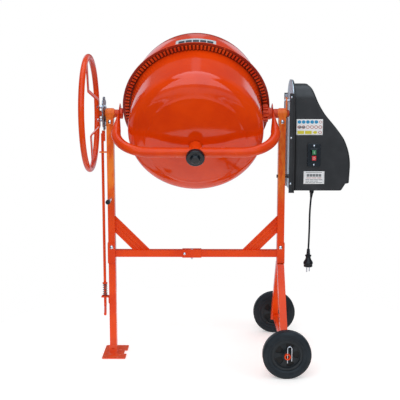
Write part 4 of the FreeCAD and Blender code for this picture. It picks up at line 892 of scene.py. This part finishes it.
# %% Welds on the yoke
def weld_bead(name, line, thickness, body, material, ripples):
    """A thin round bead along a closed line, with its radius rippling along the way."""
    turn = np.linspace(0, 2 * math.pi * ripples, len(line), endpoint=False)
    size = thickness * (1 + 0.16 * np.sin(turn))
    centre = line.mean(axis=0)
    tangent = np.roll(line, -1, axis=0) - np.roll(line, 1, axis=0)
    tangent /= np.linalg.norm(tangent, axis=1, keepdims=True)
    radial = line - centre
    radial -= (radial * tangent).sum(axis=1, keepdims=True) * tangent
    radial /= np.linalg.norm(radial, axis=1, keepdims=True)
    other = np.cross(tangent, radial)
    ring = circle(1.0, 10)
    points = (line[:, None] + size[:, None, None] *
              (ring[None, :, :1] * radial[:, None] + ring[None, :, 1:] * other[:, None]))
    finish(link(name, grid_mesh(name, points, wrap_rows=True), body), material)


barrel_radius = 0.028
angle = np.linspace(0, 2 * math.pi, 160, endpoint=False)
for side in (-1, 1):
    height = tube_radius * np.cos(angle)
    depth = tube_radius * np.sin(angle)
    out = side * np.sqrt(barrel_radius ** 2 - depth ** 2)
    crossing = (tilt_centre + out[:, None] * (1, 0, 0) + depth[:, None] * up
                + (run_height + height)[:, None] * drum_axis)
    weld_bead("yoke_weld_" + ("left" if side < 0 else "right"), crossing, 0.0026,
              "tilting_yoke", frame_paint, 34)
print("yoke welded")

# %% [markdown]
# A moulded cap closes the bearing: a wide disc with a raised middle.

# %% Bearing cap
cap_corners = [(0.0, -0.322), (0.0279, -0.322), (0.0279, -0.314), (0.0370, -0.3195),
               (0.0375, -0.3210), (0.0375, -0.3355), (0.0345, -0.338), (0.0215, -0.338),
               (0.0200, -0.3395), (0.0196, -0.347), (0.0165, -0.350), (0.0, -0.350)]
cap_profile = eased(cap_corners, 0.0012, steps=4)
cap = link("bearing_end_cap", turned("bearing_end_cap", cap_profile, tilt_centre, drum_axis,
                                     closed=False), "tilting_yoke", "bearing_cap")
finish(cap, cap_black)
print("cap", round(0.350 - 0.314, 3), "m deep")

# %% [markdown]
# ## The handwheel
# The operator turns a ring of round tube, a torus, held by one dished flat bar.

# %% Handwheel
wheel_centre = placed((-0.458, 0.0, 1.069))
wheel_radius, grip = 0.240, 0.0125
rim_profile = np.array([wheel_radius, 0.0]) + circle(grip, 32)
rim = link("handwheel_ring", turned("handwheel_ring", rim_profile, wheel_centre, (1, 0, 0), 160),
           "tilting_yoke", "handwheel_rim")
finish(rim, frame_paint)
softened("handwheel_bar", 0.0010, frame_paint)
print("handwheel", 2 * wheel_radius + 2 * grip, "m across")

# %% [markdown]
# ## Wheels
# The wheel centres are moulded black plastic with five pockets on each side; their edges
# get a round of 1.6 mm. The solid tyres are turned profiles: a flat tread with rounded
# shoulders and a shallow groove in each side wall, where the two mould halves carry a
# decorative ring.

# %% Tyres and wheel centres
tyre_corners = [(0.0642, -0.0195), (0.072, -0.0222), (0.0770, -0.0222), (0.0785, -0.0208),
                (0.0800, -0.0222), (0.089, -0.0225), (0.1000, -0.0165), (0.1000, 0.0165),
                (0.089, 0.0225), (0.0800, 0.0222), (0.0785, 0.0208), (0.0770, 0.0222),
                (0.072, 0.0222), (0.0642, 0.0195)]
tyre_radii = [0.001, 0.003, 0.0008, 0.0008, 0.0008, 0.007, 0.0045, 0.0045, 0.007, 0.0008,
              0.0008, 0.0008, 0.003, 0.001]
tyre_profile = eased(tyre_corners, tyre_radii, steps=5, closed=True)
for place, side in (("front", -1), ("rear", 1)):
    hub = placed((0.374, side * wheel_y, 0.100))
    mesh = turned(place + "_tyre_ring", tyre_profile, hub, (0, 1, 0), 128)
    tyre = link(place + "_tyre_ring", mesh, place + "_wheel_set", place + "_tyre")
    finish(tyre, tyre_rubber)
    softened(place + "_wheel", 0.0016, wheel_black)
print("wheels", 2)

# %% [markdown]
# ## The handle peg
# A zinc-plated rod with a rounded plastic cap.

# %% Peg cap
cap_piece = softened("handle_cap", 0.0008, cap_black)
print("peg cap", cap_piece.name)

# %% [markdown]
# ## The pedal spring
# A coil spring is a circle of wire carried round a helix: the angle grows evenly and so
# does the height. The two end turns lie flat against their seats, so there the height
# grows slowly.

# %% Pedal spring
spring_low, spring_high, turns, coil, wire = 0.2636, 0.3175, 7.0, 0.009, 0.0013
t = np.linspace(0, 1, 420)
rate = 0.25 + 0.75 * np.sin(np.pi * t) ** 0.5
climb = np.concatenate([[0], np.cumsum((rate[1:] + rate[:-1]) / 2)])
climb /= climb[-1]
theta = 2 * math.pi * turns * t
helix = np.stack([coil * np.cos(theta), coil * np.sin(theta),
                  spring_low + (spring_high - spring_low) * climb], axis=1)
helix = placed(helix + (-0.405, 0.0, 0.0))
spring = link("pedal_coil", swept("pedal_coil", helix, circle(wire, 10), (0, 0, 1)),
              "frame", "pedal_spring")
finish(spring, dark_steel)
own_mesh(spring)
print("spring", turns, "turns")

# %% [markdown]
# ## The drive housing
# The cover is one moulding. Seen from the front it is tall and narrow at the top and
# swells to the right around the motor. Seen from the side its top corners are round.
# Both views give one formula: at each height the cover reaches out to X(z), and is
# w(z) wide, and the section there is a U with rounded corners. The grid follows the
# front outline from the top left down to the bottom right.

# %% The cover's outline
cover_x, cover_half, cover_low, cover_top = 0.407, 0.115, 0.750, 1.197
outline_corners = [(0.407, 1.197), (0.466, 1.197), (0.484, 1.180), (0.509, 1.118),
                   (0.536, 1.072), (0.586, 1.014), (0.622, 0.966), (0.641, 0.915),
                   (0.649, 0.868), (0.645, 0.781), (0.631, 0.779), (0.613, 0.750),
                   (0.407, 0.750)]
outline_radii = [0, 0.022, 0.030, 0.20, 0.16, 0.14, 0.10, 0.12, 0.16, 0.004, 0.004, 0.006, 0]
outline = eased(outline_corners, outline_radii, steps=10)
gaps = np.linalg.norm(np.diff(outline, axis=0), axis=1)
outline = outline[np.concatenate([[True], gaps > 1e-6])]
outline = evenly(outline, 260)
front_side = (outline[:, 1] > 0.800) & (outline[:, 0] > 0.470)
outline[front_side] = smoothed(outline, 9)[front_side]
corner = 0.062


def half_width(height):
    """115 mm up to where the top corner starts, then a quarter circle inwards."""
    above = np.clip(height - (cover_top - corner), 0, corner)
    return cover_half - corner + np.sqrt(corner ** 2 - above ** 2)


print("cover outline", len(outline), "points")

# %% [markdown]
# Each U-shaped row starts at the back edge, comes forward along one side, turns through
# a small radius, crosses the outer face, turns again and goes back. On the flat top and
# the flat bottom all rows share one height, so there the U shrinks towards the middle
# instead, and the rows nest.

# %% Cover surface
def u_row(reach, half, radius, steps=7):
    """A U from (0, -half) out to reach and back to (0, half), with rounded corners."""
    radius = min(radius, reach * 0.45 + 1e-5, half * 0.45)
    quarter = np.linspace(0, math.pi / 2, steps)
    run = np.linspace(0, 1, 9)[:-1, None]
    side = np.array([0, -half]) + run * np.array([reach - radius, 0])
    bend = np.stack([reach - radius + radius * np.sin(quarter),
                     -half + radius - radius * np.cos(quarter)], axis=1)
    across = np.linspace(-1, 1, 13)[1:-1, None] * (half - radius)
    face = np.concatenate([np.full((11, 1), reach), across], axis=1)
    lower = np.concatenate([side, bend])
    return np.concatenate([lower, face, lower[::-1] * (1, -1)])


reach = np.maximum(outline[:, 0] - cover_x, 0.0005)
half = half_width(outline[:, 1])
flat_top = outline[:, 1] > cover_top - 0.0015
flat_low = outline[:, 1] < cover_low + 0.0005
half[flat_top] *= np.clip(0.04 + 0.96 * reach[flat_top] / reach[flat_top].max(), 0, 1)
half[flat_low] *= np.clip(0.04 + 0.96 * reach[flat_low] / reach[flat_low].max(), 0, 1)
rows = [u_row(r, h, 0.009) for r, h in zip(reach, half)]
cover_points = np.stack([np.stack([cover_x + row[:, 0], row[:, 1],
                                   np.full(len(row), z)], axis=1)
                         for row, z in zip(rows, outline[:, 1])])
cover_mesh = grid_mesh("drive_cover", placed(cover_points), wrap_columns=False)
cover = link("drive_cover", cover_mesh, "frame", "housing_cover")
thickened(cover, "wall", 0.003)
finish(cover, housing_black)
print("cover faces", len(cover_mesh.polygons))

# %% [markdown]
# Round the open side runs a lip, screwed to the arched back plate. It is a ring: the
# arched outline outside, the same outline moved in by 14 mm inside, and 6 mm thick with
# rounded edges.

# %% Cover lip
lip_half, lip_low, lip_side, lip_top = 0.125, 0.741, 1.140, 1.213


def arch(inset, count=48):
    """A rectangle with half an ellipse on top, as (y, z) points, moved in by inset."""
    half, top = lip_half - inset, lip_top - inset
    turn = np.linspace(-math.pi / 2, math.pi / 2, count)
    crown_line = np.stack([half * np.sin(turn), lip_side + (top - lip_side) * np.cos(turn)], axis=1)
    down = np.stack([np.full(12, half), np.linspace(lip_side, lip_low + inset, 13)[1:]], axis=1)
    return np.concatenate([crown_line, down, (down * (-1, 1))[::-1]])


section = eased([(0.0, 0.0), (0.0, 0.006), (0.014, 0.006), (0.014, 0.0)], 0.0015, 3, True)
lip_points = np.stack([np.concatenate([np.full((len(arch(inset)), 1), cover_x + out), arch(inset)],
                                      axis=1) for inset, out in section])
lip = link("cover_lip", grid_mesh("cover_lip", placed(lip_points), wrap_rows=True), "frame")
finish(lip, housing_black)
print("lip", len(lip.data.polygons), "faces")

# %% [markdown]
# Two flaps run back from the lip and lap over the folded edges of the steel plate. Each is
# a flat bar with a rounded section, carried from its lower end to its upper end. Three
# cross-head screws hold each flap; they are the CAD's, with their finish.

# %% Cover flaps
flap_section = eased([(-0.0015, -0.0095), (0.0015, -0.0095), (0.0015, 0.0095),
                      (-0.0015, 0.0095)], 0.0008, 3, True)
for side in (-1, 1):
    flap_line = placed(np.stack([np.full(40, 0.3995), np.full(40, side * 0.1205),
                                 np.linspace(0.741, 1.156, 40)], axis=1))
    name = "cover_flap_" + ("front" if side < 0 else "back")
    flap = link(name, swept(name, flap_line, flap_section, (1, 0, 0)), "frame")
    finish(flap, housing_black)
print("flaps", 2)

# %% [markdown]
# ## The switch
# A black plate with a raised frame holds a green and a red push button. Two cross-head
# screws hold the plate. Each button gets a plain moulded mark: a bar for start, a ring
# for stop.

# %% Switch plate and buttons
softened("switch_plate", 0.0014, cap_black, segments=3)
softened("green_button", 0.0007, green_plastic)
softened("red_button", 0.0007, red_plastic)
button_face = -0.1275
mark_white = moulded("mark_white", (0.70, 0.71, 0.70), (0.60, 0.61, 0.60), 0.40, 300.0, 0.00003)
bar_outline = eased([(-0.0008, -0.005), (0.0008, -0.005), (0.0008, 0.005), (-0.0008, 0.005)],
                    0.0007, 3, True)


def raised_mark(name, outline_points, centre, body):
    """A thin plate standing 0.3 mm proud of a face that looks along -Y."""
    layers = [np.stack([centre[0] + outline_points[:, 0], np.full(len(outline_points), y),
                        centre[1] + outline_points[:, 1]], axis=1)
              for y in (button_face + 0.0002, button_face - 0.0003)]
    finish(link(name, grid_mesh(name, placed(np.stack(layers)), caps=True), body), mark_white)


raised_mark("start_mark", bar_outline, (0.494, 0.912), "start_button")
ring_profile = eased([(0.0036, -0.0002), (0.0036, 0.0003), (0.0048, 0.0003), (0.0048, -0.0002)],
                     0.0001, 2, True)
stop_mark = link("stop_mark", turned("stop_mark", ring_profile,
                                     placed((0.494, button_face, 0.888)), (0, -1, 0), 48),
                 "stop_button")
finish(stop_mark, mark_white)
print("switch marked")

# %% [markdown]
# A pan-head screw is a turned dome. The cross slot is cut by pressing the grid's heights
# down wherever the point lies within half a slot's width of either line of the cross.

# %% Switch screws
def cross_screw(name, centre, radius, height, body, material):
    """A dome over a disc, its height lowered along two crossed slots."""
    r = np.linspace(0, 1, 22)[:, None]
    t = np.linspace(0, 2 * math.pi, 64, endpoint=False)[None, :]
    x, z = radius * r * np.cos(t), radius * r * np.sin(t)
    lift = height * np.sqrt(np.clip(1 - 0.85 * r ** 2, 0, 1)) + 0 * t
    slot = np.minimum(np.abs(x + z), np.abs(x - z)) / math.sqrt(2)
    in_slot = (slot < radius * 0.13) & (r < 0.62)
    lift = np.where(in_slot, lift - height * 0.55, lift)
    lift[-1] = 0
    top = np.stack([centre[0] + x, centre[1] - lift, centre[2] + z], axis=-1)
    base = np.stack([centre[0] + x[-1], np.full(64, centre[1] + 0.001), centre[2] + z[-1]], axis=-1)
    points = np.concatenate([top, base[None]])
    mesh = grid_mesh(name, placed(points))
    finish(link(name, mesh, body), material)


for place, height in (("top", 0.940), ("bottom", 0.860)):
    cross_screw("switch_screw_" + place, (0.494, -0.122, height), 0.0036, 0.0018, "frame", zinc)
print("switch screws", 2)

# %% [markdown]
# ## Labels
# Printed foil labels: one with rows of round and square signs, one with plain lines, and
# a small one on the drum. None has any lettering. The print is drawn by the material from
# the label's own UV map: cells in rows, and in each cell a disc, a ring or a bar.

# %% Label print
def uv_map(mesh, rows, columns):
    """Give a grid mesh a UV map that runs 0 to 1 across it."""
    layer = mesh.uv_layers.new(name="UVMap")
    index = np.zeros(len(mesh.loops), np.int32)
    mesh.loops.foreach_get("vertex_index", index)
    u, v = (index % columns) / (columns - 1), (index // columns) / (rows - 1)
    layer.data.foreach_set("uv", np.stack([u, v], axis=1).astype(np.float32).ravel())


def label_material(name, paper, marks):
    """Printed foil: paper, then each mark (u0, u1, v0, v1, count, shape, colour) over it."""
    material, tree, shader, where = new_material(name)
    uv = tree.nodes.new("ShaderNodeUVMap")
    uv.uv_map = "UVMap"
    u, v, _ = parts_of(tree, uv.outputs["UV"])
    worn = between(tree, noise(tree, where, 60.0, 4.0), 0.35, 0.75, 0.0, 1.0)
    base = mixed(tree, worn, paper, tuple(0.88 * c for c in paper))
    for u0, u1, v0, v1, count, shape, colour in marks:
        across = math_node(tree, "MULTIPLY", math_node(tree, "SUBTRACT", u, u0), count / (u1 - u0))
        cell = math_node(tree, "SUBTRACT", math_node(tree, "FRACT", across), 0.5)
        upward = math_node(tree, "DIVIDE", math_node(tree, "SUBTRACT", v, (v0 + v1) / 2), v1 - v0)
        if shape == "bar":
            far = math_node(tree, "MAXIMUM", math_node(tree, "ABSOLUTE", cell),
                            math_node(tree, "ABSOLUTE", upward))
        else:
            far = math_node(tree, "SQRT", math_node(
                tree, "ADD", math_node(tree, "POWER", cell, 2), math_node(tree, "POWER", upward, 2)))
        inside_mark = math_node(tree, "LESS_THAN", far, 0.44)
        if shape == "ring":
            inside_mark = math_node(tree, "MULTIPLY", inside_mark,
                                    math_node(tree, "GREATER_THAN", far, 0.30))
        printed = combined(tree, "MULTIPLY", inside_mark, math_node(tree, "GREATER_THAN", u, u0),
                           math_node(tree, "LESS_THAN", u, u1))
        base = mixed(tree, printed, base, colour)
    tree.links.new(base, shader.inputs["Base Color"])
    tree.links.new(between(tree, noise(tree, where, 30.0, 3.0), 0.3, 0.7, 0.28, 0.42),
                   shader.inputs["Roughness"])
    bumped(tree, shader, noise(tree, where, 90.0, 2.0), 0.00015)
    return material


# %% [markdown]
# A label on the flat front of the cover is a thin rectangular grid, 0.3 mm proud.
# The drum's label bends with the shell, so its grid takes the radius from the shell's own curve.

# %% Labels on the housing
def foil(name, points, body, material, thickness):
    """A grid of points as a thin printed sheet with its own UV map."""
    rows, columns = points.shape[:2]
    mesh = bpy.data.meshes.new(name)
    mesh.from_pydata(points.reshape(-1, 3).tolist(), [],
                     grid_faces(rows, columns, False, False).tolist())
    uv_map(mesh, rows, columns)
    mesh.shade_smooth()
    piece = link(name, mesh, body)
    thickened(piece, "foil", thickness)
    finish(piece, material)


def flat_label(name, x_low, x_high, z_low, z_high, material):
    """A foil just in front of the cover's front face."""
    x, z = np.meshgrid(np.linspace(x_low, x_high, 25), np.linspace(z_low, z_high, 15))
    points = np.stack([x, np.full_like(x, -cover_half - 0.0003), z], axis=-1)
    foil(name, placed(points), "frame", material, 0.00025)


white, grey = (0.80, 0.82, 0.84), (0.16, 0.17, 0.18)
blue, rust, yellow = (0.02, 0.26, 0.50), (0.42, 0.08, 0.05), (0.60, 0.53, 0.04)
sign_marks = [(0.03, 0.83, 0.70, 0.95, 5, "disc", blue), (0.84, 0.98, 0.72, 0.92, 1, "ring", rust),
              (0.03, 0.98, 0.38, 0.62, 6, "ring", rust), (0.06, 0.34, 0.42, 0.56, 2, "bar", grey),
              (0.02, 0.60, 0.05, 0.28, 2, "bar", yellow), (0.62, 0.80, 0.06, 0.27, 1, "disc", yellow),
              (0.82, 0.97, 0.06, 0.27, 1, "ring", rust)]
signs = label_material("sign_label", white, sign_marks)
flat_label("sign_label", 0.4195, 0.5294, 0.9841, 1.0497, signs)
line_marks = [(0.06, 0.94, 0.88, 0.93, 1, "bar", grey), (0.14, 0.86, 0.56, 0.80, 5, "bar", grey),
              (0.12, 0.88, 0.45, 0.50, 3, "bar", rust), (0.08, 0.92, 0.30, 0.36, 4, "bar", grey),
              (0.08, 0.70, 0.19, 0.24, 3, "bar", grey), (0.08, 0.92, 0.08, 0.13, 5, "bar", grey)]
lines = label_material("plate_label", white, line_marks)
flat_label("plate_label", 0.4530, 0.5400, 0.7786, 0.8318, lines)
print("housing labels", 2)

# %% [markdown]
# The drum's label wraps round the shell near the gear ring, on its highest side. Each
# point lies at an angle round the axis and a height along it, and its radius is read
# off the shell's outline moved out by 0.4 mm.

# %% Label on the drum
label_half_angle, label_low, label_high = 0.30, 0.070, 0.135
radius_line, height_line = shell_side(-0.0004).T
turn, height = np.meshgrid(np.linspace(-label_half_angle, label_half_angle, 41),
                           np.linspace(label_low, label_high, 9))
radius = np.interp(height, height_line, radius_line)
upward = np.cross((1, 0, 0), drum_axis)
points = (tilt_centre + height[..., None] * drum_axis
          + radius[..., None] * (np.sin(turn)[..., None] * np.array([1.0, 0, 0])
                                 + np.cos(turn)[..., None] * upward))
drum_marks = [(0.06, 0.94, 0.18, 0.82, 5, "bar", (0.03, 0.035, 0.05))]
foil("drum_label", points, "drum", label_material("drum_label", (0.62, 0.68, 0.72), drum_marks),
     0.0003)
print("drum label", round(2 * label_half_angle * float(radius.mean()), 3), "m wide")

# %% [markdown]
# ## Stage and light
# A pale floor carries the contact shadows, and the light comes from a white room: bright
# behind and at the sides, darker in front, with two large soft boxes. Glossy paint shows
# these as soft windows.

# %% Floor
floor_radius = 1.15
r = np.linspace(0, 1, 30)[:, None, None] * floor_radius
t = np.linspace(0, 2 * math.pi, 96, endpoint=False)[None, :, None]
floor_points = np.concatenate([r * np.cos(t), r * np.sin(t), -0.0005 + 0 * r * t], axis=2)
floor = bpy.data.objects.new("floor", grid_mesh("floor", floor_points))
bpy.context.scene.collection.objects.link(floor)
floor_material, tree, shader, where = new_material("floor_paper")
shader.inputs["Roughness"].default_value = 0.9
shader.inputs["Specular IOR Level"].default_value = 0.1
paper = between(tree, noise(tree, where, 3.0, 3.0), 0.3, 0.7, 0.0, 1.0)
tree.links.new(mixed(tree, paper, (0.93, 0.93, 0.93), (0.90, 0.90, 0.90)),
               shader.inputs["Base Color"])
shader.inputs["Emission Color"].default_value = (1, 1, 1, 1)
shader.inputs["Emission Strength"].default_value = 0.30
finish(floor, floor_material)
print("floor", 2 * floor_radius, "m across")

# %% [markdown]
# The room is a pattern over directions. Mirror-like paint sees windows: one overhead, a
# wide wedge in front, strips at the back and a ragged glow low down. Matt surfaces see a
# plain room, brighter above than below, and the camera sees white.

# %% World
world = bpy.data.worlds.new("studio")
bpy.context.scene.world = world
world.use_nodes = True
tree = world.node_tree
background = tree.nodes["Background"]
background.inputs["Color"].default_value = (1, 1, 1, 1)
direction = tree.nodes.new("ShaderNodeTexCoord").outputs["Generated"]
sideways, backward, height = parts_of(tree, direction)
aside = math_node(tree, "ABSOLUTE", sideways)
ahead = math_node(tree, "MULTIPLY", backward, -1.0)
roughness = math_node(tree, "SUBTRACT", noise(tree, direction, 5.0, 4.0), 0.5)
ragged = math_node(tree, "ADD", height, math_node(tree, "MULTIPLY", roughness, 0.16))
in_front = math_node(tree, "SUBTRACT", ahead, math_node(tree, "MULTIPLY", aside, 0.95))
wedge = between(tree, in_front, 0.0, 0.07, 0.0, 1.0)
overhead = between(tree, height, 0.865, 0.90, 0.0, 2.2)
window = combined(tree, "MULTIPLY", between(tree, height, 0.10, 0.26, 0.30, 2.4),
                  between(tree, height, -0.20, -0.12, 0.0, 1.0), wedge)
sweep = combined(tree, "MULTIPLY", between(tree, ahead, -0.80, -0.72, 0.95, 0.0),
                 between(tree, height, 0.50, 0.56, 1.0, 0.0),
                 between(tree, aside, 0.15, 0.22, 0.0, 1.0))
under_back = math_node(tree, "MULTIPLY", between(tree, ahead, -0.2, 0.0, 0.55, 0.0),
                       between(tree, height, -0.06, 0.0, 1.0, 0.0))
glow = math_node(tree, "MULTIPLY", between(tree, ragged, -0.40, -0.33, 0.0, 0.75),
                 between(tree, ragged, -0.16, -0.08, 1.0, 0.0))
streak = math_node(tree, "MULTIPLY", between(tree, ragged, -0.43, -0.415, 0.0, 1.6),
                   between(tree, ragged, -0.41, -0.395, 1.0, 0.0))
low_glow = math_node(tree, "MULTIPLY", math_node(tree, "ADD", glow, streak), wedge)
back_wall = math_node(tree, "MULTIPLY", between(tree, ahead, -0.15, 0.0, 0.16, 0.0),
                      between(tree, height, 0.34, 0.40, 0.0, 1.0))
slot = math_node(tree, "MULTIPLY", between(tree, aside, 0.05, 0.08, 2.0, 0.0), back_wall)
upper_back = math_node(tree, "ADD", back_wall, slot)
bright = combined(tree, "MAXIMUM", overhead, window, sweep, upper_back, under_back, low_glow)
mirror = math_node(tree, "ADD", bright, 0.05)
matt = between(tree, height, -0.5, 0.9, 0.38, 0.84)
paths = tree.nodes.new("ShaderNodeLightPath")
seen, glossy = paths.outputs["Is Camera Ray"], paths.outputs["Is Glossy Ray"]


def chosen(choice, if_one, if_zero):
    """if_one where choice is 1, and if_zero where it is 0."""
    first = math_node(tree, "MULTIPLY", choice, if_one)
    return math_node(tree, "ADD", first, math_node(
        tree, "MULTIPLY", math_node(tree, "SUBTRACT", 1.0, choice), if_zero))


tree.links.new(chosen(seen, 1.0, chosen(glossy, mirror, matt)), background.inputs["Strength"])
tree.links.new(mixed(tree, glossy, (1.0, 1.0, 1.0), (0.80, 0.93, 1.06)),
               background.inputs["Color"])
bpy.context.scene.view_settings.view_transform = "Standard"
print("room ready")

# %% [markdown]
# Two rectangular lamps give the shapes their light side. They are hidden from mirror-like
# reflections, which belong to the room.

# %% Soft boxes
def soft_box(name, place, aim, wide_by, tall, watts):
    """A rectangular area light at a place, turned to shine at a point."""
    data = bpy.data.lights.new(name, "AREA")
    data.shape = "RECTANGLE"
    data.size, data.size_y = wide_by, tall
    data.energy = watts
    lamp = bpy.data.objects.new(name, data)
    bpy.context.scene.collection.objects.link(lamp)
    lamp.location = place
    lamp.rotation_euler = (Vector(aim) - Vector(place)).to_track_quat("-Z", "Y").to_euler()
    lamp.visible_glossy = False


soft_box("front_top", (-0.6, -3.1, 3.2), (0.0, 0.0, 0.9), 2.2, 1.4, 42)
soft_box("right", (3.4, -1.8, 1.9), (0.0, 0.0, 0.9), 1.2, 2.2, 12)
print("lights", 2)
